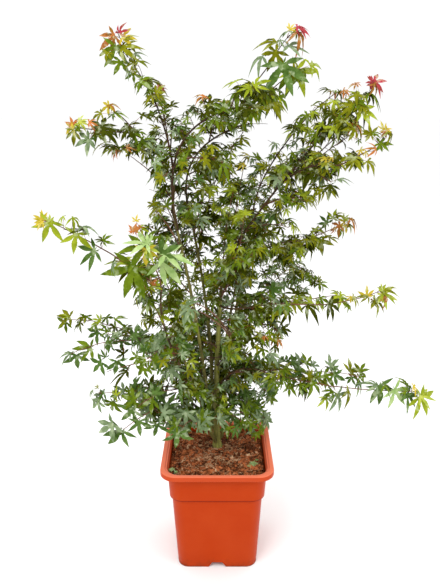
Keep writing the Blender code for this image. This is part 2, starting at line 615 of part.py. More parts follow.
class Shoot:
    """One mass of leaves while it grows: its stem, twigs and leaves as separate solids."""

    def __init__(self, mass, paths, crown, number):
        self.mass = mass
        self.crown = crown
        self.dice = random.Random(SEED + number)
        self.leaf = min(LEAF_MOST, max(LEAF_LEAST, mass.spread * LEAF_SHARE))
        end = around_foot(mass.heading, mass.reach, mass.height)
        parent = paths[mass.parent]
        origin = parent.at(mass.at)[0]
        end_short = end - (end - origin).normalized() * self.leaf * TIP_ROOM
        toward = (end - origin).normalized()
        start, knee = spring(parent, mass.at, toward, STEM_RADIUS)
        points = [start] + curve(knee, end_short, mass.bow, MASS_STEP)
        count = len(points) - 1
        radii = [STEM_RADIUS * (1 - (1 - TIP_SHARE) * i / count) for i in range(count + 1)]
        self.stem = Path(points, radii, 3)
        self.solids = [self.stem.shape()]
        crown.add(self.stem.shape())
        self.spots = []

    def in_space(self, points):
        """Whether every point lies near enough to the stem."""
        most = self.mass.spread * SPACE_SHARE + SPACE_MORE
        line = self.stem.points
        for point in points:
            near = min((point - nearest(point, a, b)).length for a, b in zip(line, line[1:]))
            if near > most:
                return False
        return True

    def twigs(self):
        """Grow the paired side twigs, and note every spot where a leaf can stand."""
        for node in range(self.mass.pairs):
            share = FIRST_PAIR + (LAST_PAIR - FIRST_PAIR) * (node + 0.5) / self.mass.pairs
            point, way, radius = self.stem.at(share)
            for hand in (-1, 1):
                out = self.side_way(way, hand, node)
                room = TWIG_ROOM[0] + (TWIG_ROOM[1] - TWIG_ROOM[0]) * share
                reach = self.mass.spread * room * self.dice.uniform(*TWIG_SIZES)
                if reach > self.leaf * TWIG_LEAST:
                    self.side_twig(point, out, reach)
                else:
                    self.spots.append((point, out, radius))
        self.tip_spots(self.stem)

    def tip_spots(self, path):
        """Three spots at a shoot's tip: a leaf that ends it, and a pair a little way back."""
        way = path.tip()[1]
        length = sum(path.lengths())
        back = max(PAIR_FIRST, 1 - self.leaf * PAIR_BACK / length)
        point, _, radius = path.at(back)
        for turn in (TIP_PAIR, -TIP_PAIR):
            out = Matrix.Rotation(math.radians(turn), 3, "Z") @ way
            self.spots.append((point, out, radius))
        self.spots.append((path.tip()[0] - way * radius, way, 0.0))

    def side_way(self, way, hand, node):
        """Direction of one of a pair of side twigs: to its hand, pairs turned by turns."""
        flat = Vector((way.x, way.y, 0.0))
        if flat.length < UPRIGHT:
            turn = math.radians(90 * (node % 2) + self.dice.uniform(-UPRIGHT_TURN, UPRIGHT_TURN))
            flat = Vector((math.cos(turn), math.sin(turn), 0.0))
        flat.normalize()
        aside = Vector((-flat.y, flat.x, 0.0)) * hand
        lift = TWIG_LIFT * hand if node % 2 else 0.0
        spread = self.dice.uniform(*TWIG_ASIDE)
        return (way * TWIG_AHEAD + aside * spread + Vector((0, 0, lift))).normalized()

    def side_twig(self, point, out, reach):
        """Grow one side twig with its spots, or note a spot for a leaf where it won't fit."""
        end = point + out * reach - Vector((0, 0, TWIG_SAG * reach))
        way = (end - point).normalized()
        root = point + way * (STEM_RADIUS + ROOT_CLEAR)
        swollen = Path([root, end], [TWIG_RADIUS] * 2, 3, CLEARANCE)
        if not self.crown.clear(swollen.shape()):
            self.spots.append((point, out, STEM_RADIUS))
            return
        twig = Path([point, end], [TWIG_RADIUS, TWIG_RADIUS * TIP_SHARE], 3)
        self.solids.append(twig.shape())
        self.crown.add(twig.shape())
        self.tip_spots(twig)

    def put_leaf(self, spot):
        """Put a leaf on its spot, turned a little until it stays clear, or leave the spot bare."""
        point, out, radius = spot
        dice = self.dice
        for attempt in range(LEAF_TRIES):
            slack = 1 + attempt * TRY_SLACK
            turn = math.radians(dice.uniform(-LEAF_TURN, LEAF_TURN) * slack)
            lift = Vector((0, 0, dice.uniform(*LEAF_RISE) * slack))
            way = (Matrix.Rotation(turn, 3, "Z") @ out + lift).normalized()
            roll = Vector((dice.uniform(*LEAF_ROLLS), dice.uniform(*LEAF_ROLLS), 1.0))
            length = self.leaf * dice.uniform(*LEAF_SIZES)
            bend = math.radians(dice.uniform(*LEAF_BENDS))
            start = radius + ROOT_CLEAR
            swollen = leaf_shape(point, way, roll, length, bend, CLEARANCE, start)
            if not self.in_space(swollen[0]) or not self.crown.clear(swollen):
                continue
            shape = leaf_shape(point, way, roll, length, bend)
            self.crown.add(shape)
            self.solids.append(shape)
            return

    def fuse(self):
        """Join stem, twigs and leaves into one closed body."""
        name = self.mass.name
        material = f"{self.mass.tint} leaf"
        item = add_object(name, mesh_of(name, *self.solids[0]), material)
        parts = bpy.data.collections.new(name)
        bpy.context.scene.collection.children.link(parts)
        for shape in self.solids[1:]:
            add_object("piece", mesh_of("piece", *shape), material, parts)
        apply_boolean(item, "UNION", collection=parts)
        tidy = bmesh.new()
        tidy.from_mesh(item.data)
        bmesh.ops.dissolve_limit(tidy, angle_limit=FLAT, verts=tidy.verts, edges=tidy.edges)
        bmesh.ops.triangulate(tidy, faces=tidy.faces)
        tidy.to_mesh(item.data)
        tidy.free()
        return item


def nearest(point, start, end):
    """The point of a straight piece that lies nearest to a point."""
    line = end - start
    share = max(0.0, min(1.0, (point - start).dot(line) / line.length_squared))
    return start + line * share


# --- the whole plant ---------------------------------------------------------------------
def clear_scene():
    """Remove the objects that the scene starts with."""
    for item in list(bpy.data.objects):
        bpy.data.objects.remove(item)


def main():
    """Build the pot, the soil, the limbs and then the masses of leaves."""
    clear_scene()
    build_pot()
    build_soil()
    crown = Crown()
    paths = {}
    for limb in LIMBS:
        path = limb_path(limb, paths)
        paths[limb.name] = path
        crown.add(path.shape())
        add_object(limb.name, mesh_of(limb.name, *path.shape()), "bark")
    for item in (bpy.data.objects["pot"], bpy.data.objects["soil"]):
        faces = [tuple(face.vertices) for face in item.data.polygons]
        crown.add(([vertex.co for vertex in item.data.vertices], faces))
    shoots = [Shoot(mass, paths, crown, number) for number, mass in enumerate(MASSES)]
    for shoot in shoots:
        shoot.twigs()
    most = max(len(shoot.spots) for shoot in shoots)
    for turn in range(most):
        for shoot in shoots:
            if turn < len(shoot.spots):
                shoot.put_leaf(shoot.spots[-1 - turn])
    for shoot in shoots:
        shoot.fuse()


main()
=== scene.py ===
"""A young Japanese maple in a square plastic pot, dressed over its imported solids.

Metres, Z up. The origin is the middle of the pot's flat underside, and the front faces -Y.
Limbs, twigs and leaves grow by the rule that places the solids, carried on to finer twigs.
"""

from __future__ import annotations

import json
import logging
import math
import random
from dataclasses import dataclass, field
from enum import Enum
from typing import Any, NamedTuple, Optional, Sequence, Union

import bmesh
import bpy
import numpy as np
from mathutils import Matrix, Vector, noise

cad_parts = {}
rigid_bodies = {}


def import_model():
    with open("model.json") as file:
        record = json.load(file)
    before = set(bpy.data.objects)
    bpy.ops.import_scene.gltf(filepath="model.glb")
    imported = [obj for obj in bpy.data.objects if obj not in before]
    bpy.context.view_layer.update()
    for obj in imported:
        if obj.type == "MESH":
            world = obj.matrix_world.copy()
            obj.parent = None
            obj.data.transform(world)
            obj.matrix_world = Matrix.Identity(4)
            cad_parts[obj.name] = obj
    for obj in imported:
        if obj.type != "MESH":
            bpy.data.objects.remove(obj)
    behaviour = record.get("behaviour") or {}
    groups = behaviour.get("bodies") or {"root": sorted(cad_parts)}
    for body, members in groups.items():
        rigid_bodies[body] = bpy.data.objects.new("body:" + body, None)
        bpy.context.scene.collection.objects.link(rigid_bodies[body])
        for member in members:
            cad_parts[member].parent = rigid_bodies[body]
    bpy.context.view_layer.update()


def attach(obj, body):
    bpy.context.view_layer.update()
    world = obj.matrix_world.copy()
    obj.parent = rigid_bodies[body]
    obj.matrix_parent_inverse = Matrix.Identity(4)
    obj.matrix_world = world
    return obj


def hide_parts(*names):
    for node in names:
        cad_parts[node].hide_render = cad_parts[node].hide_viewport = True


LOG = logging.getLogger("maple")
BODY = "root"
SEED = 41
INNER_SEED = SEED * 7
SOWING_SEED = SEED * 13
COMPOST_SEED = SEED * 3
TINY = 1e-6
FLAT = 180.0

Colour = tuple[float, float, float]
Triple = tuple[float, float, float]
Span = tuple[float, float]
Number = Union[float, "Term"]
Faces = list[np.ndarray]


# --- shader maths ---
class Term:
    """One value of a material: a socket that takes part in Python expressions."""

    def __init__(self, recipe: "Recipe", socket: bpy.types.NodeSocket) -> None:
        """Wrap a socket.

        Args:
            recipe: the material that the socket belongs to.
            socket: the output socket that holds the value.
        """
        self.recipe = recipe
        self.socket = socket

    def worked(self, operation: str, first: Number, second: Number) -> "Term":
        """Add a Math node.

        Args:
            operation: the Math node's operation.
            first: its first value.
            second: its second value.

        Returns:
            The node's result.
        """
        return self.recipe.node("ShaderNodeMath", {"operation": operation}, {0: first, 1: second})

    def __add__(self, other: Number) -> "Term":
        """This plus other."""
        return self.worked("ADD", self, other)

    def __radd__(self, other: Number) -> "Term":
        """Other plus this."""
        return self.worked("ADD", other, self)

    def __sub__(self, other: Number) -> "Term":
        """This less other."""
        return self.worked("SUBTRACT", self, other)

    def __rsub__(self, other: Number) -> "Term":
        """Other less this."""
        return self.worked("SUBTRACT", other, self)

    def __mul__(self, other: Number) -> "Term":
        """This times other."""
        return self.worked("MULTIPLY", self, other)

    def __rmul__(self, other: Number) -> "Term":
        """Other times this."""
        return self.worked("MULTIPLY", other, self)

    def between(self, low: float, high: float) -> "Term":
        """Share of the way from low to high, held between 0 and 1.

        Args:
            low: the value that gives 0.
            high: the value that gives 1.

        Returns:
            The share.
        """
        values = {"Value": self, "From Min": low, "From Max": high}
        return self.recipe.node("ShaderNodeMapRange", {"clamp": True}, values)


class Recipe:
    """A material under construction around one Principled shader."""

    def __init__(self, name: str) -> None:
        """Start a material.

        Args:
            name: the material's name.
        """
        self.material = bpy.data.materials.new(name)
        self.material.use_nodes = True
        self.tree = self.material.node_tree
        self.shader = self.tree.nodes["Principled BSDF"]

    def node(self, kind: str, settings: Optional[dict[str, Any]] = None,
             values: Optional[dict[Union[str, int], Any]] = None,
             output: Union[str, int] = 0) -> Term:
        """Add one node.

        Args:
            kind: the node's type name.
            settings: properties that are set before its sockets; stops are a ramp's stops.
            values: a number, a colour or a Term for each named or numbered socket.
            output: the output that is read.

        Returns:
            That output.
        """
        made = self.tree.nodes.new(kind)
        for key, value in (settings or {}).items():
            if key == "stops":
                self.set_stops(made.color_ramp, value)
            else:
                setattr(made, key, value)
        for key, value in (values or {}).items():
            if isinstance(value, Term):
                self.tree.links.new(value.socket, made.inputs[key])
            else:
                made.inputs[key].default_value = value
        return Term(self, made.outputs[output])

    @staticmethod
    def set_stops(ramp: bpy.types.ColorRamp, stops: Sequence[tuple[float, Colour]]) -> None:
        """Set a colour ramp's stops.

        Args:
            ramp: the ramp.
            stops: place and colour of each stop, lowest first; two or more.
        """
        while len(ramp.elements) < len(stops):
            ramp.elements.new(1.0)
        for element, (place, colour) in zip(ramp.elements, stops):
            element.position = place
            element.color = (*colour, 1.0)

    def place(self) -> Term:
        """Position on the object, in metres."""
        return self.node("ShaderNodeTexCoord", output="Object")

    def axis(self, which: str) -> Term:
        """One of the object's coordinates, in metres.

        Args:
            which: X, Y or Z.

        Returns:
            The coordinate.
        """
        return self.node("ShaderNodeSeparateXYZ", values={0: self.place()}, output=which)

    def clouds(self, scale: float, detail: float = 3.0, stretch: Optional[Triple] = None) -> Term:
        """Soft noise around 0.5.

        Args:
            scale: how many patches there are to a metre.
            detail: how many finer octaves it has.
            stretch: how much closer the patches stand along each axis.

        Returns:
            The noise.
        """
        where = self.place()
        if stretch:
            settings = {"operation": "MULTIPLY"}
            where = self.node("ShaderNodeVectorMath", settings, {0: where, 1: stretch})
        return self.node("ShaderNodeTexNoise", None,
                         {"Vector": where, "Scale": scale, "Detail": detail})

    def cells(self, scale: float) -> Term:
        """Distance to the nearest of scattered points.

        Args:
            scale: how many points there are to a metre.

        Returns:
            The distance, in steps between points.
        """
        return self.node("ShaderNodeTexVoronoi", None, {"Vector": self.place(), "Scale": scale})

    def mix(self, share: Number, first: Union[Colour, Term], second: Union[Colour, Term]) -> Term:
        """Blend two colours.

        Args:
            share: how much of the second colour there is.
            first: a colour.
            second: a colour.

        Returns:
            The blend.
        """
        colours = [c if isinstance(c, Term) else (*c, 1.0) for c in (first, second)]
        return self.node("ShaderNodeMix", {"data_type": "RGBA"},
                         {0: share, 6: colours[0], 7: colours[1]}, output=2)

    def relief(self, height: Term, depth: float, reach: float = 1.0) -> Term:
        """Bump from a height.

        Args:
            height: the height, from 0 to 1.
            depth: how far 1 stands over 0, in metres.
            reach: strength of the bump.

        Returns:
            The bent normal.
        """
        values = {"Height": height, "Distance": depth, "Strength": reach}
        return self.node("ShaderNodeBump", None, values)

    def finish(self, **sockets: Any) -> bpy.types.Material:
        """Set the shader's sockets.

        Args:
            sockets: values by socket name, with _ for a space.

        Returns:
            The finished material.
        """
        for key, value in sockets.items():
            socket = self.shader.inputs[key.replace("_", " ")]
            if isinstance(value, Term):
                self.tree.links.new(value.socket, socket)
            elif isinstance(value, tuple):
                socket.default_value = (*value, 1.0)
            else:
                socket.default_value = value
        return self.material


# --- finishes ---
@dataclass(frozen=True)
class PlasticFinish:
    """Moulded terracotta-orange plastic: a satin skin, pale mottles and scuffs, a painted highlight on
    the lip, a painted shadow line under the collar, dirt splashes and specks, and darker patches along
    the foot.
    """

    name: str = "moulded_terracotta"
    main: Colour = (0.415, 0.036, 0.0010)
    pale: Colour = (0.450, 0.047, 0.0040)
    # rim: pale colour of the painted highlight on the lip.
    rim: Colour = (0.840, 0.200, 0.1000)
    dirt: Colour = (0.110, 0.028, 0.010)
    shaded: Colour = (0.200, 0.010, 0.0003)
    dirt_top: float = 0.050
    film: Span = (0.0005, 0.0045)
    rim_foot: float = 0.2586
    rim_blur: float = 0.001
    rim_top: float = 0.88
    rim_side: float = 0.12
    # Place, width and strength of the painted shadow line along the collar's foot; shaded is its colour.
    seam: float = 0.1948
    seam_below: float = 0.0016
    seam_above: float = 0.0010
    seam_blur: float = 0.0008
    seam_share: float = 0.95
    mottled: float = 0.55
    scuffed: float = 0.25
    splashed: float = 0.55
    specked: float = 0.16
    filmed: float = 0.85
    rough: float = 0.33
    gloss: float = 0.08

    def material(self) -> bpy.types.Material:
        """Make the material.

        Returns:
            The finished material.
        """
        recipe = Recipe(self.name)
        height = recipe.axis("Z")
        mottle = recipe.clouds(scale=14.0, detail=4.0).between(low=0.42, high=0.66)
        scuffs = recipe.clouds(scale=60.0, detail=6.0, stretch=(1.0, 1.0, 5.0))
        scuffs = scuffs.between(low=0.58, high=0.78)
        colour = recipe.mix(mottle * self.mottled + scuffs * self.scuffed, self.main, self.pale)
        # Painted highlight: the lip is mixed towards the pale rim colour, most on the faces that look
        # up, as though lit from above.
        up = recipe.node("ShaderNodeSeparateXYZ",
                         values={0: recipe.node("ShaderNodeNewGeometry", output="Normal")}, output="Z")
        rim = height.between(self.rim_foot - self.rim_blur, self.rim_foot + self.rim_blur)
        facing = up.between(low=0.15, high=0.90)
        colour = recipe.mix(rim * (facing * self.rim_top + self.rim_side), colour, self.rim)
        # Painted shadow: a thin dark line along the collar's foot, standing in for the shade under its
        # overhang.
        under, over = self.seam - self.seam_below, self.seam + self.seam_above
        seam = height.between(under, under + self.seam_blur)
        seam = seam * (1.0 - height.between(over, over + self.seam_blur))
        colour = recipe.mix(seam * self.seam_share, colour, self.shaded)
        low = 1.0 - height.between(0.0, self.dirt_top)
        foot = 1.0 - height.between(*self.film)
        splash = recipe.clouds(scale=90.0, detail=7.0) * 0.75 + low * 0.40
        splash = splash.between(low=0.62, high=0.92)
        specks = recipe.clouds(scale=420.0).between(low=0.66, high=0.74)
        colour = recipe.mix(splash * low * self.splashed + specks * self.specked, colour, self.dirt)
        # Darker in patches along the very bottom of the pot, mixed towards the same dark colour as the
        # splashes.
        film = foot * recipe.clouds(scale=30.0, detail=4.0).between(low=0.34, high=0.56)
        colour = recipe.mix(film * self.filmed, colour, self.dirt)
        grain = recipe.clouds(scale=1900.0, detail=2.0)
        rough = self.rough + mottle * 0.08 + scuffs * 0.12 + splash * low * 0.30
        return recipe.finish(Base_Color=colour, Roughness=rough, Specular_IOR_Level=self.gloss,
                             Normal=recipe.relief(grain, depth=0.00012, reach=0.35))


@dataclass(frozen=True)
class CompostFinish:
    """Damp bark and coir compost: dark crumbs with redder and paler ones among them."""

    name: str
    dark: Colour
    main: Colour
    pale: Colour
    rough: float = 0.88
    gloss: float = 0.10
    flecked: float = 0.75

    def material(self) -> bpy.types.Material:
        """Make the material.

        Returns:
            The finished material.
        """
        recipe = Recipe(self.name)
        crumbs = recipe.clouds(scale=230.0, detail=6.0)
        patches = crumbs * 0.50 + recipe.clouds(scale=24.0) * 0.50
        colour = recipe.mix(patches.between(low=0.42, high=0.56), self.dark, self.main)
        flecks = recipe.clouds(scale=640.0, detail=4.0).between(low=0.60, high=0.70)
        colour = recipe.mix(flecks * self.flecked, colour, self.pale)
        height = crumbs * 0.6 + recipe.clouds(scale=900.0, detail=5.0) * 0.4
        rough = self.rough - crumbs.between(low=0.30, high=0.45) * 0.06
        return recipe.finish(Base_Color=colour, Roughness=rough, Specular_IOR_Level=self.gloss,
                             Normal=recipe.relief(height, depth=0.0015, reach=0.9))


@dataclass(frozen=True)
class BarkFinish:
    """Thin smooth bark with long streaks and small pale breathing pores."""

    name: str
    main: Colour
    streak: Colour
    pore: Colour
    rough: float = 0.62
    high: Colour = (0.030, 0.014, 0.012)
    high_over: Span = (0.80, 1.05)
    darkened: float = 0.70
    pored: float = 0.65
    gloss: float = 0.15

    def material(self) -> bpy.types.Material:
        """Make the material.

        Returns:
            The finished material.
        """
        recipe = Recipe(self.name)
        streaks = recipe.clouds(scale=160.0, detail=4.0, stretch=(1.0, 1.0, 0.12))
        patches = recipe.clouds(scale=28.0)
        share = (streaks * 0.6 + patches * 0.4).between(low=0.40, high=0.62)
        colour = recipe.mix(share, self.main, self.streak)
        pores = 1.0 - recipe.cells(scale=420.0).between(low=0.10, high=0.22)
        colour = recipe.mix(pores * self.pored, colour, self.pore)
        upper = recipe.axis("Z").between(*self.high_over)
        colour = recipe.mix(upper * self.darkened, colour, self.high)
        height = streaks * 0.7 + pores * 0.3
        rough = self.rough + share * 0.14
        return recipe.finish(Base_Color=colour, Roughness=rough, Specular_IOR_Level=self.gloss,
                             Normal=recipe.relief(height, depth=0.0006, reach=0.8))


@dataclass(frozen=True)
class LeafFinish:
    """Thin leaf in one plain colour, a little mottled, with pale patches of painted sheen."""

    name: str
    main: Colour
    shade: Colour
    rough: float = 0.42
    bloom: float = 0.42
    bloom_colour: Colour = (0.54, 0.61, 0.38)
    gloss: float = 0.01

    def material(self) -> bpy.types.Material:
        """Make the material.

        Returns:
            The finished material.
        """
        recipe = Recipe(self.name)
        patches = recipe.clouds(scale=38.0, detail=2.0).between(low=0.38, high=0.62)
        mottle = recipe.clouds(scale=170.0).between(low=0.36, high=0.64)
        veins = recipe.clouds(scale=900.0)
        colour = recipe.mix(patches * 0.70 + mottle * 0.30, self.main, self.shade)
        # Painted sheen: pale patches that stand in for sky light glancing off the leaf.
        bloom = recipe.clouds(scale=72.0, detail=2.0).between(low=0.55, high=0.67)
        colour = recipe.mix(bloom * self.bloom, colour, self.bloom_colour)
        rough = self.rough + veins * 0.16
        return recipe.finish(Base_Color=colour, Roughness=rough, Specular_IOR_Level=self.gloss,
                             Normal=recipe.relief(veins, depth=0.0003, reach=0.5))


@dataclass(frozen=True)
class BackdropFinish:
    """Matt pale floor."""

    name: str = "pale_floor"
    main: Colour = (0.97, 0.97, 0.97)
    rough: float = 0.9

    def material(self) -> bpy.types.Material:
        """Make the material."""
        recipe = Recipe(self.name)
        return recipe.finish(Base_Color=self.main, Roughness=self.rough)


class Tint(Enum):
    """Leaf colours: the name of each one's piece, its finish, and the slot it takes."""

    SHADE = ("leaves_shade", (0.050, 0.060, 0.002), (0.026, 0.033, 0.001), "deep leaf")
    DEEP = ("leaves_deep", (0.110, 0.185, 0.042), (0.042, 0.086, 0.012), "deep leaf")
    MID = ("leaves_mid", (0.140, 0.200, 0.012), (0.058, 0.096, 0.004), "deep leaf")
    DUSTY = ("leaves_dusty", (0.235, 0.305, 0.165), (0.098, 0.146, 0.060), "deep leaf")
    OLIVE = ("leaves_olive", (0.220, 0.228, 0.010), (0.108, 0.118, 0.003), "fresh leaf")
    FRESH = ("leaves_fresh", (0.335, 0.392, 0.026), (0.175, 0.225, 0.010), "fresh leaf")
    LIME = ("leaves_lime", (0.470, 0.500, 0.085), (0.270, 0.340, 0.035), "fresh leaf")
    PALE = ("leaves_pale", (0.420, 0.530, 0.225), (0.205, 0.330, 0.090), "fresh leaf")
    GOLD = ("leaves_gold", (0.570, 0.430, 0.045), (0.350, 0.300, 0.022), "bronze leaf")
    BRONZE = ("leaves_bronze", (0.520, 0.170, 0.050), (0.230, 0.120, 0.018), "bronze leaf")
    CRIMSON = ("leaves_crimson", (0.420, 0.040, 0.070), (0.240, 0.050, 0.030), "bronze leaf")

    @property
    def piece(self) -> str:
        """Name of the piece that holds the leaves of this colour."""
        return self.value[0]

    @property
    def slot(self) -> str:
        """Material slot of the record that this colour belongs to."""
        return self.value[3]

    def material(self) -> bpy.types.Material:
        """Make the material."""
        return LeafFinish(f"{self.piece}_skin", self.value[1], self.value[2]).material()


SHADE, DEEP, MID, DUSTY, OLIVE, FRESH, LIME, PALE, GOLD, BRONZE, CRIMSON = Tint


# --- meshes ---
class Bin:
    """Points and faces that are gathered and then made into one mesh object."""

    def __init__(self) -> None:
        """Start empty."""
        self.points: list[np.ndarray] = []
        self.faces: Faces = []
        self.count = 0

    def add(self, points: np.ndarray, faces: Faces) -> None:
        """Gather a shape.

        Args:
            points: its points, one a row.
            faces: arrays of faces with equally many corners, by point number.
        """
        self.points.append(np.asarray(points, float).reshape(-1, 3))
        self.faces += [np.asarray(block, np.int64) + self.count for block in faces]
        self.count += len(self.points[-1])

    def triangles(self) -> int:
        """How many triangles the gathered faces make."""
        return sum(len(block) * (block.shape[1] - 2) for block in self.faces)

    def build(self, name: str, material: bpy.types.Material, sharp: float = FLAT) -> bpy.types.Object:
        """Make the object.

        Args:
            name: the object's name.
            material: its finish.
            sharp: degrees between faces over which an edge stays sharp.

        Returns:
            The object, linked to the scene.
        """
        mesh = bpy.data.meshes.new(name)
        points = np.concatenate(self.points)
        corners = np.concatenate([block.ravel() for block in self.faces])
        totals = np.concatenate([np.full(len(block), block.shape[1]) for block in self.faces])
        starts = np.concatenate([[0], np.cumsum(totals)[:-1]])
        mesh.vertices.add(len(points))
        mesh.vertices.foreach_set("co", points.ravel())
        mesh.loops.add(len(corners))
        mesh.loops.foreach_set("vertex_index", corners.astype(np.int32))
        mesh.polygons.add(len(totals))
        mesh.polygons.foreach_set("loop_start", starts.astype(np.int32))
        mesh.update(calc_edges=True)
        mesh.validate()
        mesh.materials.append(material)
        mesh.polygons.foreach_set("use_smooth", np.ones(len(mesh.polygons), bool))
        if sharp < FLAT:
            mesh.set_sharp_from_angle(angle=math.radians(sharp))
        item = bpy.data.objects.new(name, mesh)
        bpy.context.scene.collection.objects.link(item)
        return item


def seat(item: bpy.types.Object, slot: str, *nodes: str) -> bpy.types.Object:
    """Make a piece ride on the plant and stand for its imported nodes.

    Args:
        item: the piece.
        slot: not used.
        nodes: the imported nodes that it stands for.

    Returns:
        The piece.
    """
    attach(item, BODY)
    if nodes:
        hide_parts(*nodes)
    LOG.info("%s: %d faces, stands for %d nodes", item.name, len(item.data.polygons), len(nodes))
    return item


def loft(rings: Sequence[np.ndarray]) -> tuple[np.ndarray, Faces]:
    """Join rings of equally many points into a closed skin.

    Args:
        rings: the rings, the first and the last of which are closed with a face.

    Returns:
        Points and faces.
    """
    count, rows = len(rings[0]), len(rings)
    low = np.arange(rows - 1)[:, None] * count + np.arange(count)[None, :]
    beside = np.arange(rows - 1)[:, None] * count + (np.arange(count)[None, :] + 1) % count
    quads = np.stack([low, beside, beside + count, low + count], axis=-1).reshape(-1, 4)
    caps = [np.arange(count)[::-1][None, :], (rows - 1) * count + np.arange(count)[None, :]]
    return np.concatenate(rings), [quads, *caps]


# --- lines that things grow along ---
class Spine:
    """A bent line with a radius at each point."""

    def __init__(self, points: np.ndarray, radii: np.ndarray) -> None:
        """Keep the line.

        Args:
            points: its points, one a row.
            radii: the radius at each point.
        """
        self.points = np.asarray(points, float)
        self.radii = np.asarray(radii, float)
        steps = np.linalg.norm(np.diff(self.points, axis=0), axis=1)
        self.run = np.concatenate([[0.0], np.cumsum(steps)])

    @property
    def length(self) -> float:
        """Length of the whole line."""
        return float(self.run[-1])

    def at(self, share: float) -> tuple[Vector, Vector, float]:
        """What the line is like at a share of its length.

        Args:
            share: from 0 at its start to 1 at its tip.

        Returns:
            The point, the direction and the radius there.
        """
        along = share * self.length
        i = int(min(max(np.searchsorted(self.run, along) - 1, 0), len(self.points) - 2))
        part = (along - self.run[i]) / max(self.run[i + 1] - self.run[i], TINY)
        point = self.points[i] + (self.points[i + 1] - self.points[i]) * part
        radius = self.radii[i] + (self.radii[i + 1] - self.radii[i]) * part
        return Vector(point), Vector(self.points[i + 1] - self.points[i]).normalized(), radius

    def part(self, share: float) -> "Spine":
        """The line's first part.

        Args:
            share: how much of its length is kept.

        Returns:
            A line of at least three points.
        """
        count = max(3, int(np.searchsorted(self.run, share * self.length)) + 1)
        return Spine(self.points[:count], self.radii[:count])

    def tube(self, sides: int, relief: Optional[np.ndarray] = None) -> tuple[np.ndarray, Faces]:
        """Closed tube around the line.

        Args:
            sides: how many sides it has.
            relief: factor on the radius of each point of each ring.

        Returns:
            Points and faces.
        """
        ways = np.gradient(self.points, axis=0)
        ways /= np.linalg.norm(ways, axis=1)[:, None]
        across = np.array(Vector(ways[0]).orthogonal().normalized())
        turns = np.arange(sides) * 2 * math.pi / sides
        rings = []
        for i, way in enumerate(ways):
            across = across - way * across.dot(way)
            across /= np.linalg.norm(across)
            over = np.cross(way, across)
            reach = self.radii[i] * (np.ones(sides) if relief is None else relief[i])
            ring = np.outer(np.cos(turns), across) + np.outer(np.sin(turns), over)
            rings.append(self.points[i] + ring * reach[:, None])
        return loft(rings)


def bent(start: Vector, end: Vector, bow: Sequence[float], step: float) -> np.ndarray:
    """Points along a curve whose middle is bowed.

    Args:
        start: its first point.
        end: its last point.
        bow: how far its middle is moved out along it, aside and up.
        step: about how far apart the points lie.

    Returns:
        The points.
    """
    chord = end - start
    flat = Vector((chord.x, chord.y, 0.0))
    out = flat.normalized() if flat.length > TINY else Vector((1.0, 0.0, 0.0))
    aside = Vector((-out.y, out.x, 0.0))
    middle = (start + end) / 2 + out * bow[0] + aside * bow[1] + Vector((0.0, 0.0, bow[2]))
    share = np.linspace(0.0, 1.0, max(3, round(chord.length / step)) + 1)[:, None]
    a, b, c = (np.array(point) for point in (start, middle, end))
    return a * (1 - share) ** 2 + b * 2 * share * (1 - share) + c * share ** 2


# --- the plan of the plant ---
SOIL_TOP = 0.252
GAP = 0.0003
FOOT = Vector((0.0, 0.035, SOIL_TOP + GAP))


def around_foot(heading: float, reach: float, height: float) -> Vector:
    """A point placed round the trunk's foot.

    Args:
        heading: degrees from +X towards +Y.
        reach: level distance from the trunk's foot.
        height: height over the ground.

    Returns:
        The point.
    """
    turn = math.radians(heading)
    return Vector((FOOT.x + reach * math.cos(turn), FOOT.y + reach * math.sin(turn), height))


@dataclass(frozen=True)
class Limb:
    """A tapering limb, placed by its tip's heading, reach and height round the trunk's foot."""

    name: str
    parent: Optional[str]
    at: float
    side: float
    heading: float
    reach: float
    height: float
    bow: Triple
    base: float
    tip: float


